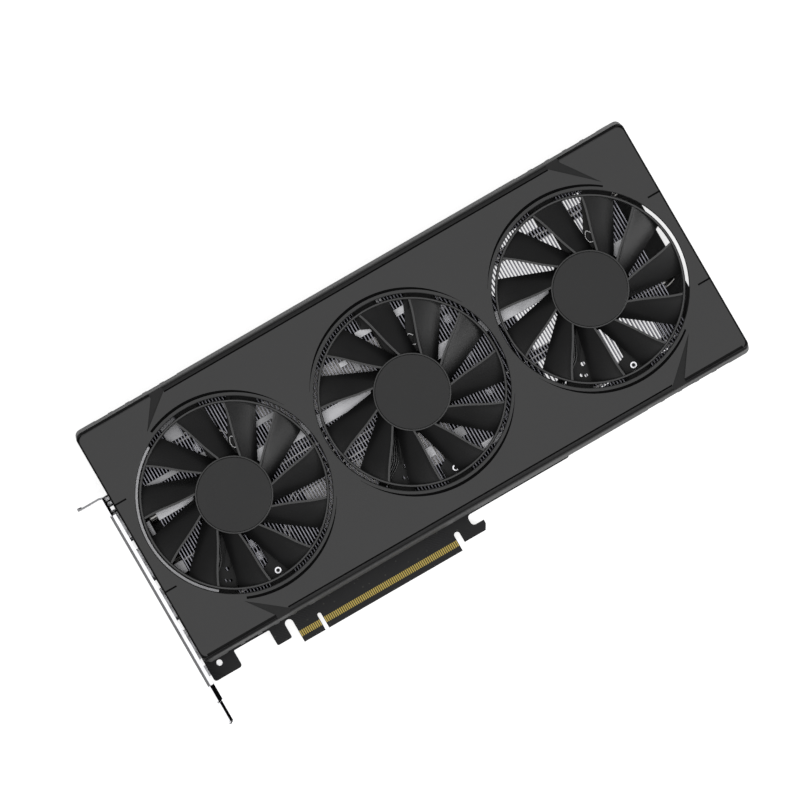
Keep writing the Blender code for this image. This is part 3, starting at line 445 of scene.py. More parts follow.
class Finish:
    """A procedural material with one Principled shader."""

    def __init__(self, name, roughness=0.5, metallic=0.0, **plain):
        self.material = bpy.data.materials.new(name)
        self.material.use_nodes = True
        self.tree = self.material.node_tree
        self.shader = self.tree.nodes["Principled BSDF"]
        self.shader.inputs["Roughness"].default_value = roughness
        self.shader.inputs["Metallic"].default_value = metallic
        for socket, value in plain.items():
            self.shader.inputs[socket.replace("_", " ")].default_value = value

    def node(self, kind, settings=None, inputs=None, output=0):
        """Adds a node: its settings first, then the values or wires of its sockets."""
        made = self.tree.nodes.new("ShaderNode" + kind)
        for key, value in (settings or {}).items():
            setattr(made, key, value)
        for key, value in (inputs or {}).items():
            self.feed(made.inputs[key], value)
        return Wire(self, made.outputs[output])

    def feed(self, socket, value):
        if isinstance(value, Wire):
            self.tree.links.new(value.socket, socket)
        elif isinstance(value, tuple) and len(socket.default_value) == 4:
            socket.default_value = (*value, 1)
        else:
            socket.default_value = value

    def set(self, socket, value):
        self.feed(self.shader.inputs[socket], value)
        return self

    def place(self):
        """Where a point lies on the piece, in metres."""
        return self.node("TexCoord", output="Object")

    def stretched(self, scale):
        return self.node("Mapping", None, {"Vector": self.place(), "Scale": scale})

    def noise(self, size, detail=2.0, stretch=None):
        """Noise whose features are about size millimetres across."""
        where = self.stretched(stretch) if stretch else self.place()
        inputs = {"Vector": where, "Scale": 1 / (size * MM), "Detail": detail}
        return self.node("TexNoise", None, inputs, "Fac")

    def blend(self, amount, first, second):
        return self.node("Mix", {"data_type": 'RGBA'}, {"Factor": amount, 6: first, 7: second}, 2)

    def ramp(self, value, low, high):
        """Nought below low, one above high."""
        return self.node("MapRange", None, {"Value": value, "From Min": low, "From Max": high})

    def relief(self, height, depth):
        """Bump whose full height is so many millimetres."""
        return self.set("Normal", self.node("Bump", None, {"Height": height, "Distance": depth * MM}))


def grey(level, tint=0.03):
    """A near-neutral colour, very slightly blue."""
    return (level, level, level * (1 + tint))


def tone(colour):
    """A colour as it is, or the grey of one level."""
    return colour if isinstance(colour, tuple) else grey(colour)


def moulded(name, dark, light, roughness, gloss=0.5, grain=0.35, depth=0.03):
    """Injection-moulded plastic: spark-eroded grain over a slow drift of colour."""
    finish = Finish(name, Specular_IOR_Level=gloss)
    drift = finish.noise(18.0, 3.0)
    speck = finish.noise(grain, 2.0)
    finish.set("Base Color", finish.blend(finish.ramp(drift, 0.3, 0.7), tone(dark), tone(light)))
    finish.set("Roughness", roughness + (speck - 0.5) * 0.16 + (drift - 0.5) * 0.1)
    finish.relief(speck, depth)
    return finish.material


def drawn_metal(name, dark, light, roughness, along=(1, 14, 14), grain=1.4, depth=0.012, spots=0.0):
    """Rolled or drawn metal with fine lines along one direction and, if asked for, dull spots."""
    finish = Finish(name, metallic=1.0)
    lines = finish.noise(grain, 3.0, along)
    cloud = finish.noise(9.0, 2.0)
    colour = finish.blend(finish.ramp(lines, 0.35, 0.65), tone(dark), tone(light))
    if spots:
        stain = tuple(part * 0.6 for part in tone(dark))
        colour = finish.blend(finish.ramp(cloud, 0.55, 0.8) * spots, colour, stain)
    finish.set("Base Color", colour)
    finish.set("Roughness", roughness + (lines - 0.5) * 0.2 + (cloud - 0.5) * 0.12)
    finish.relief(lines, depth)
    return finish.material


def black_steel():
    finish = Finish("black_steel", metallic=0.8)
    speck = finish.noise(0.4, 2.0)
    scuff = finish.ramp(finish.noise(1.6, 3.0), 0.6, 0.75)
    finish.set("Base Color", finish.blend(scuff * 0.6, grey(0.03), grey(0.2)))
    finish.set("Roughness", 0.38 + (speck - 0.5) * 0.2)
    return finish.relief(speck, 0.01).material


def gold():
    finish = Finish("gold", metallic=1.0)
    scuff = finish.noise(1.2, 3.0, (14, 1, 14))
    worn = finish.ramp(scuff, 0.4, 0.7)
    finish.set("Base Color", finish.blend(worn, (0.26, 0.195, 0.05), (0.36, 0.28, 0.08)))
    finish.set("Roughness", 0.24 + (scuff - 0.5) * 0.2)
    return finish.relief(scuff, 0.004).material


def solder_mask():
    """Black lacquer over copper: faint straight tracks and vias stand up under it."""
    finish = Finish("solder_mask", Specular_IOR_Level=0.2)
    where = finish.stretched((1000.0 / 0.8, 1000.0 / 0.8, 0.0))
    tracks = finish.node("TexWave", {"wave_type": 'BANDS', "bands_direction": 'DIAGONAL'},
                         {"Vector": where, "Scale": 0.32, "Distortion": 0.0}, "Fac")
    spread = {"Vector": finish.place(), "Scale": 90.0, "Randomness": 0.8}
    field = finish.node("TexVoronoi", {"distance": 'CHEBYCHEV'}, spread, "Color")
    patch = finish.ramp(finish.node("SeparateColor", None, {"Color": field}), 0.45, 0.5)
    line = finish.ramp(tracks, 0.55, 0.7) * patch
    spread = {"Vector": finish.place(), "Scale": 260.0, "Randomness": 0.7}
    vias = finish.node("TexVoronoi", None, spread, "Distance")
    dot = 1 - finish.ramp(vias, 0.1, 0.14)
    drift = finish.noise(14.0, 3.0)
    colour = finish.blend(drift, grey(0.013, 0.08), grey(0.019, 0.08))
    colour = finish.blend(line * 0.7, colour, grey(0.03, 0.08))
    colour = finish.blend(dot * 0.5, colour, (0.08, 0.08, 0.07))
    finish.set("Base Color", colour)
    finish.set("Roughness", 0.38 + (drift - 0.5) * 0.12 + line * 0.05)
    return finish.relief(line * 0.7 + dot * 0.3 + finish.noise(0.5) * 0.15, 0.05).material


def powder_coat():
    finish = Finish("powder_coat", metallic=0.2, Specular_IOR_Level=0.4)
    peel = finish.noise(0.7, 3.0)
    drift = finish.noise(25.0, 3.0)
    scuff = finish.ramp(finish.noise(5.0, 4.0, (1, 6, 1)), 0.66, 0.8)
    coat = finish.blend(drift, grey(0.016), grey(0.026))
    finish.set("Base Color", finish.blend(scuff * 0.2, coat, grey(0.1)))
    finish.set("Roughness", 0.42 + (peel - 0.5) * 0.14)
    return finish.relief(peel, 0.03).material


def silicon():
    finish = Finish("silicon", metallic=0.6)
    drift = finish.noise(6.0)
    finish.set("Base Color", finish.blend(drift, (0.12, 0.12, 0.16), (0.18, 0.17, 0.2)))
    finish.set("Roughness", 0.12 + drift * 0.08)
    return finish.material


SHROUD = moulded("shroud_plastic", 0.014, 0.020, 0.38, 0.54, 0.4, 0.02)
# Near-black matte copy of the shell plastic: painted shade in grooves and recesses.
GROOVE_SHADE = moulded("groove_painted_shade", 0.006, 0.008, 0.6, 0.05, 0.5, 0.01)
SATIN = moulded("satin_recess", 0.012, 0.016, 0.45, 0.26, 0.4, 0.02)
# Darker, duller copy of the shell plastic: painted shade on the sloping sides and parting grooves.
SLOPE_SHADE = moulded("slope_painted_shade", 0.009, 0.013, 0.5, 0.12, 0.4, 0.02)
# Lighter, glossier copy of the rotor plastic: painted highlight on upward-facing level faces.
RIM_HIGHLIGHT = moulded("rim_painted_highlight", 0.022, 0.028, 0.36, 0.62, 0.4, 0.006)
ROTOR = moulded("rotor_plastic", 0.012, 0.016, 0.36, 0.36, 0.6, 0.006)
CAP = moulded("cap_plastic", 0.013, 0.017, 0.42, 0.4, 0.3, 0.02)
FRAME = moulded("frame_plastic", 0.007, 0.011, 0.4, 0.22, 0.5, 0.01)
NYLON = moulded("nylon", 0.010, 0.015, 0.45, 0.3, 0.6, 0.012)
FIN = drawn_metal("fin_aluminium", grey(0.22, 0.12), grey(0.28, 0.12), 0.36, (14, 1, 14), 1.8)
RAIL = drawn_metal("rail_aluminium", 0.42, 0.5, 0.42, (1, 16, 16), 1.2, 0.01, 0.3)
TIE = drawn_metal("tie_metal", 0.2, 0.28, 0.4, (1, 8, 8), 1.2, 0.01, 0.4)
# Light grey glossy finish: painted reflection on the ledge inside the bracket-side opening.
LEDGE_REFLECTION = moulded("ledge_painted_reflection", 0.5, 0.6, 0.3, 0.6, 0.4, 0.006)
NICKEL = drawn_metal("nickel", (0.44, 0.43, 0.42), (0.54, 0.53, 0.51), 0.28, (1, 10, 10), 1.5, 0.008, 0.4)
BRACKET = drawn_metal("bracket_steel", 0.66, 0.78, 0.28, (14, 14, 1), 1.4, 0.006, 0.15)
# Near-black matte finish: painted shade on the bracket's inner side.
BRACKET_SHADE = moulded("bracket_painted_shade", 0.003, 0.005, 0.8, 0.0, 0.5, 0.01)
SHELL = drawn_metal("shell_steel", 0.5, 0.66, 0.32, (1, 12, 12), 1.2, 0.01, 0.2)
SCREW = drawn_metal("screw_steel", 0.62, 0.76, 0.25, (6, 6, 1), 0.8, 0.006)
BLACK_STEEL = black_steel()
GOLD = gold()
MASK = solder_mask()
POWDER = powder_coat()
CONTACT = drawn_metal("contact_metal", (0.72, 0.55, 0.26), (0.85, 0.68, 0.36), 0.28, (1, 8, 8), 0.8, 0.004)
FERRITE = moulded("ferrite", 0.10, 0.15, 0.55, 0.4, 0.3, 0.03)
CAN = drawn_metal("can_metal", (0.6, 0.6, 0.62), (0.74, 0.74, 0.76), 0.3, (8, 8, 1), 1.0, 0.006)
CHIP = moulded("chip_plastic", 0.014, 0.022, 0.55, 0.3, 0.25, 0.02)
CERAMIC = moulded("ceramic", (0.22, 0.15, 0.09), (0.3, 0.2, 0.12), 0.4, 0.5, 0.3, 0.01)
TIN = drawn_metal("tin", (0.66, 0.66, 0.66), (0.8, 0.8, 0.8), 0.4, (3, 3, 3), 0.5, 0.02)
LAMINATE = moulded("laminate", (0.02, 0.07, 0.035), (0.03, 0.1, 0.05), 0.35, 0.5, 0.5, 0.008)
SILICON = silicon()
JACKET = moulded("lead_jacket", 0.008, 0.013, 0.36, 0.4, 0.6, 0.008)
BRONZE = drawn_metal("sintered_bronze", (0.34, 0.22, 0.12), (0.5, 0.34, 0.2), 0.45, (3, 3, 3), 0.3, 0.03)
CORE = drawn_metal("stacked_steel", (0.3, 0.3, 0.31), (0.42, 0.42, 0.43), 0.4, (1, 1, 30), 2.0, 0.03)
MAGNET = moulded("magnet_rubber", (0.04, 0.035, 0.033), (0.06, 0.055, 0.05), 0.6, 0.5, 0.4, 0.03)


# ---- shroud ----

def shroud_levels(inset):
    """Half length, half width and height of each outline, from the foot to the face."""
    levels = [(HALF_LENGTH - inset, HALF_WIDTH - inset, z) for z in (SHROUD_LOW.z, SLOPE_FOOT)]
    for i in range(9):
        turn = math.radians(90 * i / 8)
        x = HALF_LENGTH - inset - END_ROUNDING * (1 - math.cos(turn))
        y = FACE_EDGE - inset + FACE_ROUNDING * math.cos(turn)
        levels.append((x, y, TOP - inset - FACE_ROUNDING * (1 - math.sin(turn))))
    return levels


def shroud_body():
    mesh = bmesh.new()
    rings = []
    for inset in (0, WALL):
        shell = []
        for half_x, half_y, z in shroud_levels(inset):
            outline = rounded((-half_x, -half_y), (half_x, half_y), SHROUD_CORNER, 6)
            shell.append([mesh.verts.new((x, y, z)) for x, y in outline])
        rings.append(shell)
    outer, inner = rings
    skin(mesh, outer, close_ends=False)
    skin(mesh, inner, close_ends=False)
    skin(mesh, [outer[0], inner[0]], close_ends=False)
    mesh.faces.new(outer[-1])
    mesh.faces.new(inner[-1])
    return mesh


def opening_cutter():
    """Three fan openings with rounded lips."""
    mesh = bmesh.new()
    outer = OPENING_RADIUS + LIP_ROUNDING
    lip = arc((outer, TOP - LIP_ROUNDING), LIP_ROUNDING, 180, 90, 4)
    for x in FAN_X:
        profile = [(0, TOP - 5), (OPENING_RADIUS, TOP - 5), *lip, (outer, TOP + 1), (0, TOP + 1)]
        lathe(profile, 120, (x, 0), mesh)
    return mesh


def crescent(side, ends):
    """The groove outside a fan's lip: its outline is the gap between two circles."""
    inner = arc((0, 0), LIP_OUTER, side * ends[0], side * ends[1], 48)
    outer = []
    for x, y in inner:
        angle = math.atan2(y, x)
        along = CRESCENT_SHIFT * side * math.sin(angle)
        radius = along + math.sqrt(CRESCENT_RADIUS ** 2 - CRESCENT_SHIFT ** 2 + along ** 2)
        radius = max(radius, LIP_OUTER + 0.12)
        outer.append((radius * math.cos(angle), radius * math.sin(angle)))
    return inner + outer[::-1]


def mirrored(outline):
    return [(x, -y) for x, y in reversed(outline)]


def face_cutter():
    """The crescents, chevrons and end seams that are sunk into the face."""
    mesh = bmesh.new()
    for x, ends in zip(FAN_X, CRESCENT_ENDS):
        for side in (1, -1):
            outline = [(x + px, py) for px, py in crescent(side, ends)]
            prism(outline, TOP - CRESCENT_DEPTH, TOP + 1, mesh)
    for outline in (LEFT_CHEVRON, RIGHT_CHEVRON):
        for shape in (outline, mirrored(outline)):
            prism(shape, TOP - CHEVRON_DEPTH, TOP + 1, mesh)
    for side in (-1, 1):
        for y in (-SEAM_OFFSET, SEAM_OFFSET):
            left, right = sorted((side * (HALF_LENGTH - SEAM_LENGTH), side * (HALF_LENGTH + 1)))
            box((left, y - SEAM_WIDTH / 2, TOP - 1.2), (right, y + SEAM_WIDTH / 2, TOP + 1), mesh)
    return mesh


def edge_cutter():
    """The long edges between the chevrons: a groove whose faces are painted near-black as shade, a narrow
    ledge and a lower shoulder.
    """
    section = [
        (56.5, TOP + 1), (56.5, TOP - 1.4), (57.2, TOP - 1.4), (57.2, TOP - 0.5),
        (58.5, TOP - 0.9), (59.3, TOP - 1.8), (61.6, TOP - 8.0), (63.0, TOP - 8.0), (63.0, TOP + 1),
    ]
    return merge(bar(section, *EDGE_STRIP), bar([(-y, z) for y, z in section], *EDGE_STRIP))


def line_cutter():
    """The parting groove along each long edge, between an end and its chevron."""
    mesh = bmesh.new()
    end = HALF_LENGTH - SHROUD_CORNER
    for low, high, depth in PARTING:
        for left, right in ((-end, LEFT_CHEVRON[-1][0]), (RIGHT_CHEVRON[1][0], end)):
            box((left, low, TOP - depth), (right, high, TOP + 1), mesh)
    return mesh


def add_wall_slot(mesh, middle, width, span, side):
    """A round-cornered slot through one long wall; side is -1 or 1."""
    outline = rounded((middle - width / 2, span[0]), (middle + width / 2, span[1]), 1.0, 3)
    low, high = sorted((-side * (HALF_WIDTH - 5), -side * (HALF_WIDTH + 1)))
    merge(mesh, bar(outline, low, high, ALONG_Y))


def wall_cutter():
    mesh = bmesh.new()
    for side in (-1, 1):
        for i in range(5):
            for end in (-1, 1):
                add_wall_slot(mesh, end * (VENT_FIRST - i * VENT_PITCH), VENT_WIDTH, VENT_SPAN, side)
        for i in range(6):
            middle = (i - 2.5) * WINDOW_PITCH
            left, right = middle - WINDOW_WIDTH / 2, middle + WINDOW_WIDTH / 2
            if side < 0 or right < PLUG_RECESS[0] or left > PLUG_RECESS[1]:
                add_wall_slot(mesh, middle, WINDOW_WIDTH, WINDOW_SPAN, side)
    low, high, height = SOCKET_RECESS
    box((-HALF_LENGTH - 1, low, 0), (5 - HALF_LENGTH, high, height), mesh)
    low, high, height = PLUG_RECESS
    box((low, HALF_WIDTH - 5, 0), (high, HALF_WIDTH + 1, height), mesh)
    return mesh


def shroud_finish(face):
    """Shell plastic; near-black painted shade on groove and recess faces; satin chevrons; and a darker,
    duller copy of the shell plastic as painted shade on the slopes and parting grooves.
    """
    middle = face.calc_center_median()
    across = abs(middle.y)
    in_groove = any(line[0] < middle.y < line[1] for line in PARTING) and middle.z < TOP - 1.2
    in_chevron = LEFT_CHEVRON[-1][0] < middle.x < LEFT_CHEVRON[1][0]
    # Parting-groove floors and sloping sides get the darker copy as painted shade; groove and recess faces
    # get the near-black painted shade.
    if in_groove and abs(face.normal.z) > 0.9 and not in_chevron:
        return 3
    if across > FACE_EDGE + 0.8 and abs(face.normal.y) > 0.4:
        return 3
    if across > 56.5 and EDGE_STRIP[0] < middle.x < EDGE_STRIP[1]:
        return int(middle.z < TOP - 0.8 and across < 57.3)
    off_axis = min(abs(middle.x - x) for x in FAN_X) > 5
    if abs(middle.z - (TOP - CHEVRON_DEPTH)) < 0.05 and across > 39 and off_axis:
        return 2
    on_lip = any(abs(math.hypot(middle.x - x, middle.y) - OPENING_RADIUS) < 1.0 for x in FAN_X)
    return int(TOP - 1.8 < middle.z < TOP - 0.05 and across < FACE_EDGE + 0.5 and not on_lip)


def make_shroud():
    mesh = shroud_body()
    for cutter in (edge_cutter, opening_cutter, face_cutter, line_cutter, wall_cutter):
        mesh = carve(mesh, cutter())
    finishes = (SHROUD, GROOVE_SHADE, SATIN, SLOPE_SHADE)
    add_piece("shroud_shell", mesh, finishes, ("shroud",), smooth=32, choose=shroud_finish)


def make_duct():
    """The rounded ledge inside the bracket-side opening, which closes part of the gap round the ring; its
    light grey colour is a painted reflection.
    """
    low, high, outer = TOP - WALL - 2.6, TOP - WALL - 0.1, OPENING_RADIUS + 1.5
    profile = [
        (outer, high), (OPENING_RADIUS + 0.4, high), (DUCT_RADIUS + 0.15, high - 0.5),
        (DUCT_RADIUS, high - 0.9), (DUCT_RADIUS, low), (outer, low),
    ]
    mesh = add_arc_strip(bmesh.new(), profile, *DUCT_SPAN, 60)
    add_piece("duct_ledge", mesh, LEDGE_REFLECTION, (), (FAN_X[0], 0, 0))


# ---- fans ----

def add_blade(mesh, middle):
    """One blade: a thin trailing edge, a gently cambered body and a level rim along the leading edge."""
    stations = 12
    root, tip = CAP_RADIUS - 0.6, (RING_INNER + RING_OUTER) / 2
    rings = []
    for i in range(stations + 1):
        out = i / stations
        rim = 1 - RIM_WIDTH / blend(*BLADE_CHORDS, out)
        upper, lower = [], []
        for along in (0, 0.02, 0.1, 0.22, 0.36, 0.5, 0.64, 0.78, rim - 0.02, rim, 1):
            inner = polar(root, middle + blend(*ROOT_ANGLES, along))
            outer = polar(tip, middle + blend(*TIP_ANGLES, along))
            sway = 0.5 * math.sin(2 * math.pi * out) * along
            spot = Matrix.Rotation(math.radians(sway), 2) @ inner.lerp(outer, out)
            reach = min(along, rim)
            height = blend(blend(*ROOT_HEIGHTS, reach), blend(*TIP_HEIGHTS, reach), out)
            height += 0.35 * math.sin(math.pi * reach)
            half = 0.12 + 0.45 * min(1.0, along / 0.22)
            lift = 0.18 if along >= rim else 0.0
            upper.append(mesh.verts.new((spot.x, spot.y, height + half + lift)))
            lower.append(mesh.verts.new((spot.x, spot.y, height - half - 2 * lift)))
        rings.append(upper + lower[::-1])
    skin(mesh, rings)


def hub_profile():
    """Flat cap, a fine groove, a stepped collar, the wall and the hollow for the motor."""
    low, high = HUB_SPAN
    return [
        (0, high),
        (CAP_RADIUS - 0.5, high),
        *arc((CAP_RADIUS - 0.4, high - 0.4), 0.4, 90, 0, 3),
        (CAP_RADIUS, high - 1.0),
        (HUB_RADIUS - 0.2, high - 1.0),
        *arc((HUB_RADIUS - 0.2, high - 1.2), 0.2, 90, 0, 2),
        (HUB_RADIUS, low + 0.2),
        (HUB_RADIUS - 0.2, low),
        (HUB_RADIUS - 1.3, low),
        (HUB_RADIUS - 1.3, high - 1.5),
        (0, high - 1.5),
    ]


def ring_profile():
    low, high = RING_SPAN
    return [
        (RING_INNER, low + 0.3), (RING_INNER + 0.3, low), (RING_OUTER - 0.3, low), (RING_OUTER, low + 0.3),
        (RING_OUTER, high - 0.5), *arc((RING_OUTER - 0.35, high - 0.35), 0.35, 0, 90, 3),
        *arc((RING_INNER + 0.35, high - 0.35), 0.35, 90, 180, 3),
    ]


def rotor_finish(face):
    """Blades and walls, the flat cap, and every level upward face, such as the rims of the collar, blades and
    ring, in a lighter, glossier copy of the rotor plastic as painted highlight.
    """
    middle = face.calc_center_median()
    reach = math.hypot(middle.x, middle.y)
    if reach < CAP_RADIUS - 0.2:
        return int(middle.z > HUB_SPAN[1] - 0.3)
    # Level upward faces take the painted highlight.
    return 2 * int(face.normal.z > 0.985)


def make_rotor(number, x):
    mesh = lathe(hub_profile(), 96)
    for i in range(BLADES):
        add_blade(mesh, PHASES[number - 1] + i * 360 / BLADES)
    lathe(ring_profile(), 144, mesh=mesh)
    node, body = f"rotor_{number}", f"fan_{number}"
    finishes = (ROTOR, CAP, RIM_HIGHLIGHT)
    add_piece(f"fan_{node}", mesh, finishes, (node,), (x, 0, 0), 32, rotor_finish, body)


def arm_edge(half):
    """One long edge of an arm, from the motor out to its post."""
    return [(16.0, half), (34.5, half), (36.5, 6.25), (48.5, 6.25)]


def make_carrier(number, x):
    """The frame that carries the motor: a dished disc, four ribbed arms and their posts."""
    low, high = FRAME_SPAN
    disc = [(18.7, low), (19.0, low + 0.3), (19.0, high), (18.7, high + 0.3), (18.2, high)]
    mesh = lathe([(0, low), *disc, (0, high)], 64)
    for angle, half, other_edge, holes in ARMS:
        outline = [(r, -a) for r, a in arm_edge(half)] + list(other_edge or arm_edge(half))[::-1]
        arm = soften(prism(outline, low, high), 0.25)
        if holes:
            tool = bmesh.new()
            for spot, radius in holes:
                prism(circle(spot, radius, 24), low - 1, high + 1, tool)
            arm = carve(arm, tool)
        for side in (-1, 1):
            for start, end, across, lift in ((18.0, 33.5, 1.7, 0.6), (38.0, 46.4, 5.4, 0.7)):
                y = across * side
                merge(arm, block((start, y - 0.35, high - 0.1), (end, y + 0.35, high + lift), 0.15))
        merge(arm, soften(prism(rounded(*POST, 0.5, 3), low + 0.5, TOP - WALL - 0.3), 0.2, 1))
        merge(mesh, turned(arm, Matrix.Rotation(math.radians(angle), 4, 'Z')))
    add_piece(f"fan_carrier_{number}", mesh, FRAME, (f"fan_frame_{number}",), (x, 0, 0))

    rivet = lathe([
        (0.75, high + 0.3), (1.8, high + 0.3), (1.8, high + 0.9), *arc((1.5, high + 0.9), 0.3, 0, 90, 3),
        (1.0, high + 1.2), (0.75, high + 0.95),
    ], 32, (0, -RIVET_OFFSET))
    add_piece(f"fan_rivet_{number}", rivet, SCREW, (f"fan_screw_{number}",), (x, 0, 0))

    loop = ((13.4, 22.4), (11.7, 24.0), (10.2, 21.6), (10.6, 19.0), (12.5, 18.2))
    clip = add_tube(bmesh.new(), smooth_path([(r, a, high + 0.7) for r, a in loop], 6), 0.42, 10)
    add_piece(f"lead_clip_{number}", clip, TIN, (), (x, 0, 0))


def make_leads(number, x):
    """Four thin wires from a motor, along its wide arm, and down beside the fins to a plug on the board."""
    turn = Matrix.Rotation(math.radians(ARMS[-1][0]), 4, 'Z')
    mesh = bmesh.new()
    plug = min(x - 34.0, BOARD_HIGH.x - 8.0) - x
    along_arm = (
        (16.0, -6.4, 31.6), (21.5, -6.3, 31.4), (32.0, -4.4, 31.4), (41.0, -7.2, 31.3), (47.0, -8.6, 30.6),
    )
    for i in range(4):
        side = LEAD_PITCH * (i - 1.5)
        knots = [turn @ Vector((r, a + side, z)) for r, a, z in along_arm]
        drop = max(knots[-1].x - 4.0, plug)
        knots += [
            Vector((blend(knots[-1].x, drop, 0.7) + side, LEAD_WALL + 3.1, 29.3)),
            Vector((drop + side, LEAD_WALL, 25.0)),
            Vector((blend(drop, plug, 0.6) + side, LEAD_WALL, 17.0)),
            Vector((plug + side, LEAD_WALL, 12.5)),
            Vector((plug + side, LEAD_WALL, 8.6)),
        ]
        add_tube(mesh, smooth_path(knots, 6), LEAD_RADIUS, 8)
    add_piece(f"fan_lead_{number}", mesh, JACKET, (), (x, 0, 0))

    housing = block((-2.6, -1.5, 0), (2.6, 1.5, 4.2), 0.3, 2)
    merge(housing, block((-3.2, -2.0, 0), (3.2, -1.3, 3.4), 0.15, 1))
    for i in range(4):
        side = LEAD_PITCH * (i - 1.5)
        merge(housing, box((side - 0.2, 1.4, 0.4), (side + 0.2, 2.2, 0.8)))
    housing.transform(Matrix.Translation((plug, LEAD_WALL, BOARD_HIGH.z)))
    add_piece(f"fan_plug_{number}", housing, NYLON, (), (x, 0, 0))


for fan, fan_x in enumerate(FAN_X, 1):
    make_rotor(fan, fan_x)
    make_carrier(fan, fan_x)
    make_leads(fan, fan_x)
make_shroud()
make_duct()


# ---- cooler ----

def fin_shape(x):
    """A fin's outline as (y, z); its foot clears the cold plate, the bent pipes and the power sockets."""
    half, low, sockets = FIN_HIGH.y, FIN_FOOT, FOOT_OVER_SOCKETS
    if PLATE_LOW.x - PIPE_BEND - 4 < x < PLATE_HIGH.x + PIPE_BEND + 4:
        low = FIN_LOW.z
    points = [(-half, FIN_HIGH.z), (-half, low)]
    if 4.5 < x < 49.5 and low < sockets:
        points += [(36.5, low), (36.5, sockets), (53.5, sockets), (53.5, low)]
    return points + [(half, low), (half, FIN_HIGH.z)]


def make_fins():
    """Pressed sheets, each with its top edge folded over towards the next."""
    mesh = bmesh.new()
    x, half, top = FIN_LOW.x, FIN_HIGH.y, FIN_HIGH.z
    while x < FIN_HIGH.x - FIN_FOLD:
        merge(mesh, bar(fin_shape(x), x, x + FIN_SHEET))
        left = x + FIN_SHEET - 0.01
        box((left, -half, top - FIN_SHEET), (left + FIN_FOLD - FIN_SHEET, half, top), mesh)
        x += FIN_PITCH
    add_piece("fin_plates", mesh, FIN, ("fin_stack",))


def make_rail():
    """The long strip over the fins, the short plates that tie them together, and the posts at their end."""
    add_piece("fin_rail_strip", block(*extent("fin_rail"), 0.12, 2), RAIL, ("fin_rail",))
    level = FIN_HIGH.z + 0.3
    for name, spots, finish in (("fin_ties", BRIGHT_TIES, RAIL), ("fin_tie_strips", DULL_TIES, TIE)):
        ties = bmesh.new()
        for left, right, bottom, top in spots:
            merge(ties, block((left, bottom, level), (right, top, level + 0.5), 0.12, 2))
        add_piece(name, ties, finish)
    posts = block((-136.3, 2.0, 12.0), (-134.1, 9.4, FIN_HIGH.z), 0.3, 2)
    merge(posts, block((-135.0, -20.0, 12.0), (-129.8, -13.8, FIN_HIGH.z - 0.4), 0.3, 2))
    add_piece("fin_end_posts", posts, TIE)


def make_pipe(number, row):
    """A heat pipe: straight through the fins, drawn in over the cold plate, its end swaged and sealed."""
    low, high = extent(f"heatpipe_{number}")
    centre = (PLATE_LOW + PLATE_HIGH) / 2
    gathered = centre.y + (2.5 - number) * PIPE_GATHERED
    height = (low.z + high.z) / 2
    steps = [i / 12 for i in range(13)]
    eased = [(1 - math.cos(math.pi * part)) / 2 for part in steps]
    left = FIN_LOW.x - PIPE_STUB
    path = [Vector((left, row, height)), Vector((left + 0.6, row, height))]
    start, end = PLATE_LOW.x - PIPE_BEND, PLATE_HIGH.x
    path += [Vector((start + PIPE_BEND * p, blend(row, gathered, e), height)) for p, e in zip(steps, eased)]
    path += [Vector((end + PIPE_BEND * p, blend(gathered, row, e), height)) for p, e in zip(steps, eased)]
    path += [Vector((high.x - back, row, height)) for back in (5.2, 4.0, 2.4, 0.6, 0)]
    radii = [PIPE_RADIUS - 0.5] + [PIPE_RADIUS] * (len(path) - 5) + [PIPE_RADIUS * 0.92, 2.2, 1.4, 1.1]
    mesh = add_tube(bmesh.new(), path, radii, 20)
    add_piece(f"heat_pipe_{number}", mesh, NICKEL, (f"heatpipe_{number}",))


make_fins()
make_rail()
for pipe, pipe_row in enumerate(PIPE_ROWS, 1):
    make_pipe(pipe, pipe_row)


# ---- board ----

def board_outline():
    """The board's edge: end tabs, slots, edge connector with its key notch, and the retention hook."""
    left, right = BOARD_LOW.x, BOARD_HIGH.x
    return [
        (left, 30.0),
        *arc((left + 1.4, -69.1), 1.4, 180, 270, 6),
        *arc((-132.4, -69.1), 1.4, 270, 360, 6),
        *arc((-130.4, BOARD_EDGE - 0.6), 0.6, 180, 90, 4),
        *arc((-112.8, BOARD_EDGE - 0.6), 0.6, 90, 0, 4),
        *arc((-111.4, TAB_EDGE + 0.8), 0.8, 180, 270, 4),
        *arc((-105.3, TAB_EDGE + 0.8), 0.8, 270, 360, 4),
        *arc((-102.525, BOARD_EDGE - 1.975), 1.975, 180, 0, 10),
        (-100.55, FINGER_EDGE),
        (-89.4, FINGER_EDGE),
        *arc((-88.45, -67.7), 0.95, 180, 0, 10),
        (-87.5, FINGER_EDGE),
        (-16.35, FINGER_EDGE),
        *arc((-14.975, -67.525), 1.375, 180, 0, 10),
        (-13.6, HOOK_EDGE),
        (-2.4, HOOK_EDGE),
        (-0.8, HOOK_EDGE + 2.75),
        (-0.8, -67.55),
        *arc((-4.95, -65.75), 1.8, 270, 180, 5),
        *arc((-4.95, BOARD_EDGE - 1.8), 1.8, 180, 90, 5),
        *arc((right - 1.5, BOARD_EDGE + 1.5), 1.5, 270, 360, 5),
        *arc((right - 1.5, BOARD_HIGH.y - 1.5), 1.5, 0, 90, 5),
        (left + 18.0, BOARD_HIGH.y),
        (left + 18.0, 30.0),
    ]


def board_holes():
    """Hole centres and radii: the tab, the bracket, the backplate and the cooler."""
    spots = [(TAB_HOLE_X, y) for y in BRACKET_TABS] + [BACK_SCREWS[1]] + spring_corners()
    return [((-139.5, -63.75), 1.45)] + [(spot, SCREW_HOLE) for spot in spots]


def spring_corners():
    x, y = CHIP_CENTRE
    return [(x + i * SPRING_REACH, y + j * SPRING_REACH) for i in (-1, 1) for j in (-1, 1)]


def on_bevel(edge):
    """An edge along the tip of the edge connector."""
    first, second = (v.co for v in edge.verts)
    at_tip = max(abs(first.y - FINGER_EDGE), abs(second.y - FINGER_EDGE)) < 0.01
    return at_tip and abs(first.z - second.z) < 0.01


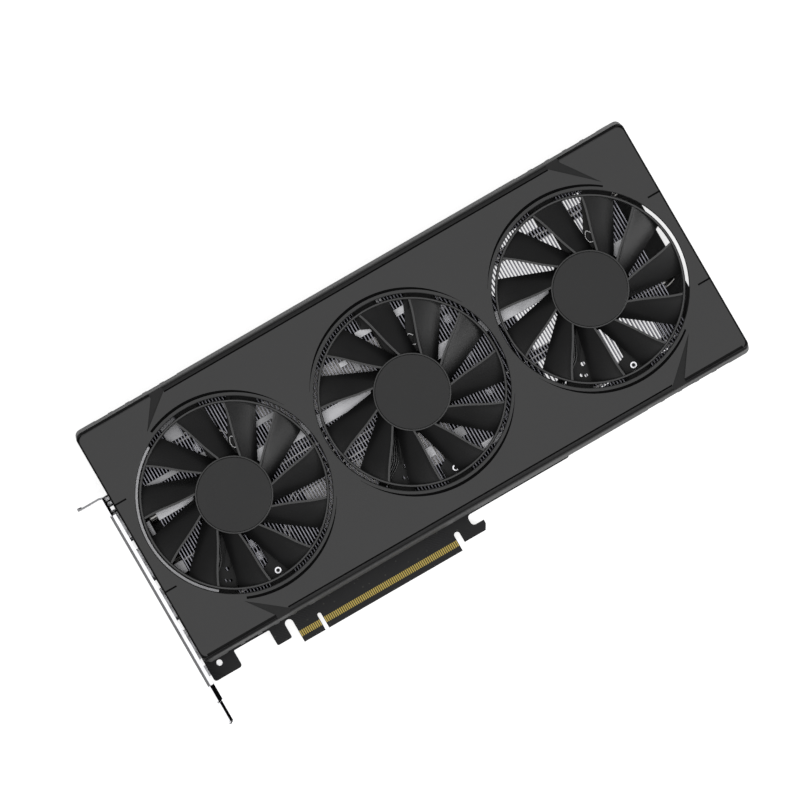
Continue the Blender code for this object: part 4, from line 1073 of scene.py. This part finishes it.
def make_board():
    low, high = BOARD_LOW.z, BOARD_HIGH.z
    mesh = soften(prism(board_outline(), low, high), 0.45, 1, 35, on_bevel)
    tool = bmesh.new()
    rings = bmesh.new()
    for spot, radius in board_holes():
        blind = spot[1] == BRACKET_TABS[1]
        prism(circle(spot, radius, 32), low - 1, high - 0.2 if blind else high + 1, tool)
        if spot[1] > BOARD_EDGE:
            inner, outer = radius + 0.02, radius + 1.2
            for z in (low - 0.04, high - 0.02):
                lathe([(inner, z), (outer, z), (outer, z + 0.06), (inner, z + 0.06)], 32, spot, rings)
    add_piece("board_panel", carve(mesh, tool), MASK, ("circuit_board",), smooth=30)
    add_piece("board_lands", rings, TIN)

    contacts = bmesh.new()
    for middle, count in FINGER_FIELDS:
        for i in range(count):
            x = middle + i - (count - 1) / 2
            outline = rounded((x - 0.3, FINGER_SPAN[0]), (x + 0.3, FINGER_SPAN[1]), 0.12, 2)
            prism(outline, high - 0.02, high + 0.035, contacts)
            prism(outline, low - 0.035, low + 0.02, contacts)
    add_piece("edge_contacts", contacts, GOLD)


def make_board_parts():
    """Chokes, capacitors, power stages and small ceramics between the board and the fins."""
    top = BOARD_HIGH.z
    rows = [-46 + 9.0 * i for i in range(9)]
    choke = block((-3.7, -3.6, 0.2), (3.7, 3.6, 4.9), 0.6, 3)
    merge(choke, box((-3.4, -2.9, 0), (-1.6, 2.9, 0.3)))
    merge(choke, box((1.6, -2.9, 0), (3.4, 2.9, 0.3)))
    stage = block((-2.5, -3.0, 0), (2.5, 3.0, 0.9), 0.12)
    side = [(2.55, 0), (2.6, 0.5), (2.45, 0.8), (2.6, 1.1), (2.6, 4.7), (2.35, 5.0), (2.1, 4.85)]
    can = lathe([(0, 0), *side, (0, 4.85)], 28)
    for name, part, columns, places, finish, slot in (
        ("power_chokes", choke, (-83.0, 15.5), rows, FERRITE, "memory_plastic"),
        ("power_stages", stage, (-90.5, 23.0), rows, CHIP, "memory_plastic"),
        ("capacitor_cans", can, (-98.5, 31.0), [-43 + 6.4 * i for i in range(12)], CAN, "plated_steel"),
    ):
        spots = [Vector((x, y, top)) for x in columns for y in places]
        add_piece(name, copies(part, spots), finish)
    small = block((-0.8, -0.4, 0), (0.8, 0.4, 0.75), 0.08)
    x, y = CHIP_CENTRE
    spots = [Vector((x - 21 + 2.6 * i, y + side * 26.5, top)) for i in range(17) for side in (-1, 1)]
    spots += [Vector((-98.0 + 2.9 * i, -60.6, top)) for i in range(27)]
    spots += [Vector((-126.0 + 2.4 * i, y, top)) for i in range(8) for y in (-12.0, -30.0, 6.0)]
    add_piece("small_ceramics", copies(small, spots), CERAMIC)


def make_chips():
    """The processor, its carrier and the memory, each a moulded or sawn block with broken edges."""
    low, high = extent("gpu_package")
    rim = box((low.x + 1.2, low.y + 1.2, high.z - 0.02), (high.x - 1.2, high.y - 1.2, high.z + 0.2))
    rim = carve(rim, box((low.x + 6, low.y + 6, high.z - 1), (high.x - 6, high.y - 6, high.z + 1)))
    mesh = merge(block(low, high, 0.15), rim)
    add_piece("chip_carrier", mesh, LAMINATE, ("gpu_package",))
    add_piece("chip_die", block(*extent("gpu_die"), 0.06), SILICON, ("gpu_die",))
    for number in range(1, 7):
        node = f"memory_chip_{number}"
        mesh = block(*extent(node), 0.12)
        add_piece(f"memory_block_{number}", mesh, CHIP, (node,))
    low, high = PLATE_LOW, PLATE_HIGH
    mesh = block(low, high, 0.35, 2)
    middle = (low + high) / 2
    boss = [(0, high.z - 0.1), (2.4, high.z - 0.1), (2.4, high.z + 0.2), (0, high.z + 0.2)]
    for i in (-1, 1):
        for j in (-1, 1):
            lathe(boss, 20, (middle.x + i * 34.0, middle.y + j * 30.0), mesh)
    add_piece("cooler_base", mesh, NICKEL, ("cold_plate",))


def make_power_sockets():
    """Eight-cell housings facing the top edge, with square pins and a latch ramp."""
    for number in (1, 2):
        node = f"power_socket_{number}"
        low, high = extent(node)
        middle = (low + high) / 2
        mesh = block(low, (high.x, high.y, high.z - 0.7), 0.3, 2)
        y, z = high.y, high.z
        ramp = bar([(y - 9, z - 1), (y - 1.5, z - 1), (y - 1.5, z - 0.1), (y - 3, z)], -2.4, 2.4)
        merge(mesh, soften(turned(ramp, Matrix.Translation((middle.x, 0, 0))), 0.15, 1))
        cells, pins = bmesh.new(), bmesh.new()
        for i in range(4):
            for j in range(2):
                x, z = middle.x + (i - 1.5) * CELL_PITCH, middle.z - 0.2 + (j - 0.5) * CELL_PITCH
                corner = 1.0 if (i + j) % 2 else 0.25
                cell = rounded((x - 1.75, z - 1.75), (x + 1.75, z + 1.75), corner, 3)
                merge(cells, bar(cell, -high.y - 1, 9 - high.y, ALONG_Y))
                pin = block((x - 0.57, high.y - 9.5, z - 0.57), (x + 0.57, high.y - 2.2, z + 0.57), 0.2)
                merge(pins, pin)
        add_piece(f"power_housing_{number}", carve(mesh, cells), NYLON, (node,))
        add_piece(f"power_pins_{number}", pins, CONTACT)


# ---- bracket ----

def bracket_plan():
    """The plate as (y, z): full width down to the shoulder, then a tapered tongue for each slot."""
    low, high = BRACKET_LOW.z, BRACKET_HIGH.z
    lip_low, lip_high = LIP_SPAN
    under = high - LIP_BEND
    points = [(BRACKET_BEND_Y, low), (BRACKET_BEND_Y, high), (lip_high + 0.5, high), (lip_high + 0.5, under)]
    points += [(lip_low, under), *arc((SHOULDER + 1.0, under - 1.0), 1.0, 90, 180, 4)]
    tip = BRACKET_LOW.y
    half = TONGUE_WIDTH / 2
    for centre in reversed(TONGUES):
        points += [(SHOULDER, centre + half), (tip + 2.0, centre + half)]
        points += arc((tip + 0.8, centre + 2.9), 0.8, 90, 180, 3)
        points += arc((tip + 0.8, centre - 2.9), 0.8, 180, 270, 3)
        points += [(tip + 2.0, centre - half), (SHOULDER, centre - half)]
    return points + [(SHOULDER, low)]


def shell_outline(width, height, inset, corner=1.6):
    """A display socket's mouth as (y, z), with its two cut corners on one side."""
    side = width / 2 - inset
    return [
        (-side + corner, inset), (side, inset), (side, height - inset), (-side + corner, height - inset),
        (-side, height - corner), (-side, inset + corner),
    ]


def bracket_cutter():
    """The socket windows and a row of upright vents over them."""
    mesh = bmesh.new()
    span = (BRACKET_LOW_FACE - 1, BRACKET_LOW_FACE + 2)
    for number in (1, 2, 3, 4):
        low, high = extent(f"display_socket_{number}")
        middle = (low.y + high.y) / 2
        outline = shell_outline(high.y - low.y, high.z - low.z, -0.3)
        merge(mesh, bar([(y + middle, z + low.z) for y, z in outline], *span))
    for i in range(10):
        y = -61.3 + 8.0 * i
        merge(mesh, bar(rounded((y, 15.0), (y + 5.2, 34.5), 1.2, 4), *span))
    return mesh


def flange_section():
    """The flange's bend and its hemmed tip, as (x, y)."""
    face, sheet, top = BRACKET_LOW_FACE, SHEET, BRACKET_HIGH.y
    centre = (face - 0.4, BRACKET_BEND_Y)
    tip = BRACKET_LOW.x
    outer = arc(centre, 0.4 + sheet, 0, 90, 6)
    inner = arc(centre, 0.4, 90, 0, 4)
    hem = [(tip + 1.0, top), (tip + 0.9, top + 0.7), (tip + 0.1, top + 0.7), (tip, top), (tip, top - sheet)]
    return outer + hem + inner


def lip_section():
    """The lip's sloping shoulder and its flat, as (x, z)."""
    face, top, slim = BRACKET_LOW_FACE, BRACKET_HIGH.z, SHEET * 0.6
    tip = face + 2.9
    return [
        (face, top - LIP_BEND), (face + LIP_BEND, top), (tip, top), (tip, top - SHEET),
        (face + LIP_BEND + slim, top - SHEET), (face + SHEET, top - LIP_BEND),
    ]


def bracket_finish(face):
    """Bare steel; near-black painted shade on the inner side and hem, and a sheared edge along the flange."""
    middle = face.calc_center_median()
    if middle.x < BRACKET_LOW.x + 1.2 or abs(middle.x - BRACKET_LOW_FACE - SHEET) < 0.02:
        return 1
    sheared = middle.x < BRACKET_LOW_FACE - 0.6 and face.normal.z > 0.5
    return 2 * int(sheared or face.normal.x < -0.5 and face.normal.z > 0.5)


def make_bracket():
    face, low, high = BRACKET_LOW_FACE, BRACKET_LOW.z, BRACKET_HIGH.z
    mesh = bar(bracket_plan(), face, face + SHEET)
    mesh = carve(mesh, prism(flange_section(), low, high), 'UNION')
    lip = bar([(x, -z) for x, z in lip_section()], *LIP_SPAN, ALONG_Y_BACK)
    mesh = carve(mesh, lip, 'UNION')
    for y, level in zip(BRACKET_TABS, (BOARD_HIGH.z + 0.3, BOARD_LOW.z - 0.3 - SHEET)):
        outline = rounded((face + 0.4, y - 2.8), (face + 8.0, y + 2.8), 0.9, 3)
        mesh = carve(mesh, prism(outline, level, level + SHEET), 'UNION')
    for centre in TONGUES:
        foot = box((face - 0.7, BRACKET_LOW.y, centre - 2.4), (face + 0.3, BRACKET_LOW.y + 0.9, centre + 2.4))
        mesh = carve(mesh, foot, 'UNION')
    tool = bracket_cutter()
    for y in BRACKET_TABS:
        prism(circle((TAB_HOLE_X, y), 1.5, 24), 0, 8, tool)
    tip, end = BRACKET_LOW.x - 1, BRACKET_LOW.x + 4.0
    for z in TONGUES:
        mouth = arc((end, z), NOTCH_RADIUS, -90, 90, 10)
        notch = [(tip, z - NOTCH_RADIUS), *mouth, (tip, z + NOTCH_RADIUS)]
        merge(tool, bar(notch, -BRACKET_HIGH.y - 2, 2 - BRACKET_HIGH.y, ALONG_Y))
    mesh = soften(carve(mesh, tool), 0.09, 1, 50)
    finishes = (BRACKET, BRACKET_SHADE, TIE)
    add_piece("slot_bracket", mesh, finishes, ("bracket",), smooth=30, choose=bracket_finish)

    # A near-black sheet on the inner side of the shoulder and tongues: painted shade.
    shade_sheet = block((face + SHEET, SHOULDER + 0.2, low + 0.5), (face + 1.75, LIP_SPAN[0], high - 1.4), 0.2, 2)
    for centre in TONGUES:
        low_corner = (face + SHEET, BRACKET_LOW.y + 0.6, centre - 3.6)
        merge(shade_sheet, block(low_corner, (face + SHEET + 0.4, SHOULDER - 0.2, centre + 3.6), 0.1, 1))
    add_piece("bracket_shade_sheet", shade_sheet, BRACKET_SHADE)
    fingers = bmesh.new()
    curve = ((0.9, 33.0), (1.6, 36.0), (2.9, 37.4), (3.7, 35.5))
    for y in (28.6, 26.3, 24.0, 20.6):
        add_tube(fingers, smooth_path([(face + x, y, z) for x, z in curve], 5), 0.45, 8)
    add_piece("shield_fingers", fingers, TIE)


def make_display_sockets():
    """A folded shell in each window, with a contact tongue inside and a moulded back."""
    for number in (1, 2, 3, 4):
        node = f"display_socket_{number}"
        low, high = extent(node)
        width, height = high.y - low.y, high.z - low.z
        corner = 1.6 if number < 4 else 2.6
        shell = soften(bar(shell_outline(width, height, 0, corner), low.x, high.x - 3), 0.25, 2)
        shell = carve(shell, bar(shell_outline(width, height, 0.4, corner), low.x - 1, low.x + 8.6))
        back = block((high.x - 3.2, 0.6 - width / 2, 0), (high.x, width / 2 - 0.6, height - 0.2), 0.2, 1)
        middle, half = height / 2, width / 2 - 2.4
        tongue = block((low.x + 1.2, -half, middle - 0.55), (low.x + 9.0, half, middle + 0.55), 0.15, 1)
        contacts = bmesh.new()
        for i in range(10):
            y = (i - 4.5) * half / 5.4
            for z in (middle - 0.6, middle + 0.52):
                box((low.x + 1.9, y - 0.22, z), (low.x + 8.4, y + 0.22, z + 0.08), contacts)
        place = (0, (low.y + high.y) / 2, low.z)
        add_piece(f"display_shell_{number}", shell, SHELL, (node,), place)
        add_piece(f"display_tongue_{number}", merge(tongue, back), NYLON, (), place)
        add_piece(f"display_contacts_{number}", contacts, CONTACT, (), place)


# ---- backplate and fasteners ----

def make_backplate():
    """A stamped sheet: pressed border, slanted louvres, a raised square under the processor, a window."""
    low, high = extent("backplate")
    mesh = prism(rounded((low.x, low.y), (high.x, high.y), 4.0, 8), low.z, high.z)
    tool = prism(WINDOW, low.z - 1, high.z + 1)
    x, y = CHIP_CENTRE
    for spot in [*spring_corners(), *BACK_SCREWS]:
        prism(circle(spot, 3.2, 32), low.z - 1, high.z + 1, tool)
    mesh = soften(carve(mesh, tool), 0.3, 2, 50)
    press = bmesh.new()
    for inset in (0.0, 2.4):
        outer = rounded((x - 38 + inset, y - 38 + inset), (x + 38 - inset, y + 38 - inset), 5 - inset, 5)
        inner = rounded((x - 37 + inset, y - 37 + inset), (x + 37 - inset, y + 37 - inset), 4 - inset / 2, 5)
        add_ring_prism(press, outer, inner, low.z - 1, low.z + 0.35)
    for i in range(8):
        y = i * LOUVRE_PITCH - 42.0
        prism([(-128.0, y), (-83.5, y), (-79.0, y + 7), (-123.5, y + 7)], low.z - 1, low.z + 0.4, press)
    for side in (-1, 1):
        border = rounded((low.x + 14, side * 57.2 - 0.6), (high.x - 14, side * 57.2 + 0.6), 0.55, 4)
        prism(border, low.z - 1, low.z + 0.4, press)
    add_piece("back_cover", carve(mesh, press), POWDER, ("backplate",), smooth=30)


def screw(radius, crown, shank, length):
    """A pan head with a cross recess, standing on its seat at z = 0, and a threaded shank below."""
    turns = int((length - 0.4) / 0.4)
    thread = [(shank - 0.14 * (i % 2), -0.3 - 0.4 * i) for i in range(turns)]
    profile = [
        (0, crown), (radius * 0.6, crown), (radius * 0.88, crown * 0.8), (radius, crown * 0.35), (radius, 0),
        (shank, 0), *thread, (shank * 0.7, -length), (0, -length),
    ]
    arm, half, floor = radius * 0.55, radius * 0.13, crown * 0.35
    cross = box((-arm, -half, floor), (arm, half, crown + 1))
    cross = carve(cross, box((-half, -arm, floor), (half, arm, crown + 1)), 'UNION')
    return carve(lathe(profile, 32), cross)


def make_screws():
    """The screws of the spring, the backplate and the bracket's two tabs."""
    down = Matrix.Rotation(math.pi, 4, 'X')
    crown = 1.0
    for name, node, corners in (
        ("spring_screws", "retention_screw", spring_corners()),
        ("back_screws", "backplate_screw", BACK_SCREWS),
    ):
        low, high = extent(f"{node}_1")
        spots = [Vector((x, y, low.z + crown)) for x, y in corners]
        mesh = copies(turned(screw(2.9, crown, 1.25, high.z - low.z - crown), down), spots)
        add_piece(name, mesh, BLACK_STEEL, [f"{node}_{n}" for n in (1, 2, 3, 4)])
    mesh = bmesh.new()
    levels = (BOARD_HIGH.z + 0.6 + SHEET, BOARD_LOW.z - 0.6 - SHEET)
    for y, level, way in zip(BRACKET_TABS, levels, (Matrix.Identity(4), down)):
        merge(mesh, turned(screw(2.4, 1.2, 1.3, 2.8), Matrix.Translation((TAB_HOLE_X, y, level)) @ way))
    add_piece("tab_screws", mesh, BLACK_STEEL, ("bracket_screw_1", "bracket_screw_2"))


make_board()
make_board_parts()
make_chips()
make_power_sockets()
make_bracket()
make_display_sockets()
make_backplate()
make_screws()


# ---- CAD nodes kept, with their own finish ----

def refinish(finish, *nodes):
    for node in nodes:
        slots = frame["nodes"][node].data.materials
        slots.clear()
        slots.append(finish)


refinish(SCREW, "retention_spring", *[f"rotor_shaft_{n}" for n in (1, 2, 3)])
refinish(BRONZE, *[f"bearing_{n}" for n in (1, 2, 3)])
refinish(CORE, *[f"stator_{n}" for n in (1, 2, 3)])
refinish(MAGNET, *[f"rotor_magnet_{n}" for n in (1, 2, 3)])


# ---- studio ----

def make_floor():
    """A pale light table under the card."""
    mesh = bmesh.new()
    bmesh.ops.create_grid(mesh, x_segments=1, y_segments=1, size=6.0)
    data = stored("light_table", mesh)
    finish = Finish("light_table", 0.6)
    finish.set("Base Color", (0.9, 0.9, 0.9))
    finish.set("Emission Color", (1.0, 1.0, 1.0))
    finish.set("Emission Strength", 0.75)
    data.materials.append(finish.material)
    floor = add_object("light_table", data)
    floor.location = (0, 0, -0.0005)


def add_softbox(name, place, target, size, power):
    data = bpy.data.lights.new(name, 'AREA')
    data.shape = 'RECTANGLE'
    data.size, data.size_y = size
    data.energy = power
    light = add_object(name, data)
    light.location = place
    light.rotation_euler = (Vector(target) - Vector(place)).to_track_quat('-Z', 'Y').to_euler()


def make_camera():
    """Straight above the card, which lies turned by thirty degrees in the view."""
    data = bpy.data.cameras.new("camera")
    data.lens = 403.6
    data.sensor_width = 36.0
    data.clip_end = 50.0
    camera = add_object("camera", data)
    camera.location = DATUM + Vector((-6.7, -0.45, 4143.7)) * MM
    camera.rotation_euler = (0, 0, math.radians(-30))
    bpy.context.scene.camera = camera


def make_studio():
    world = bpy.data.worlds.new("studio")
    world.use_nodes = True
    sky = world.node_tree.nodes["Background"].inputs
    sky["Color"].default_value = (1, 1, 1, 1)
    sky["Strength"].default_value = 0.22
    bpy.context.scene.world = world
    add_softbox("overhead", (-0.3, -0.15, 5.0), (0, 0, 0), (4.0, 4.0), 70)
    add_softbox("key", (1.2, -1.1, 1.5), (0, 0, 0), (0.9, 0.9), 12)
    add_softbox("rim", (0.0, 2.2, 0.5), (0, 0, 0.02), (2.4, 0.4), 1.5)
    add_softbox("rim_near", (0.0, -2.2, 0.5), (0, 0, 0.02), (2.4, 0.4), 1.5)
    bpy.context.scene.view_settings.view_transform = 'Standard'


make_floor()
make_camera()
make_studio()
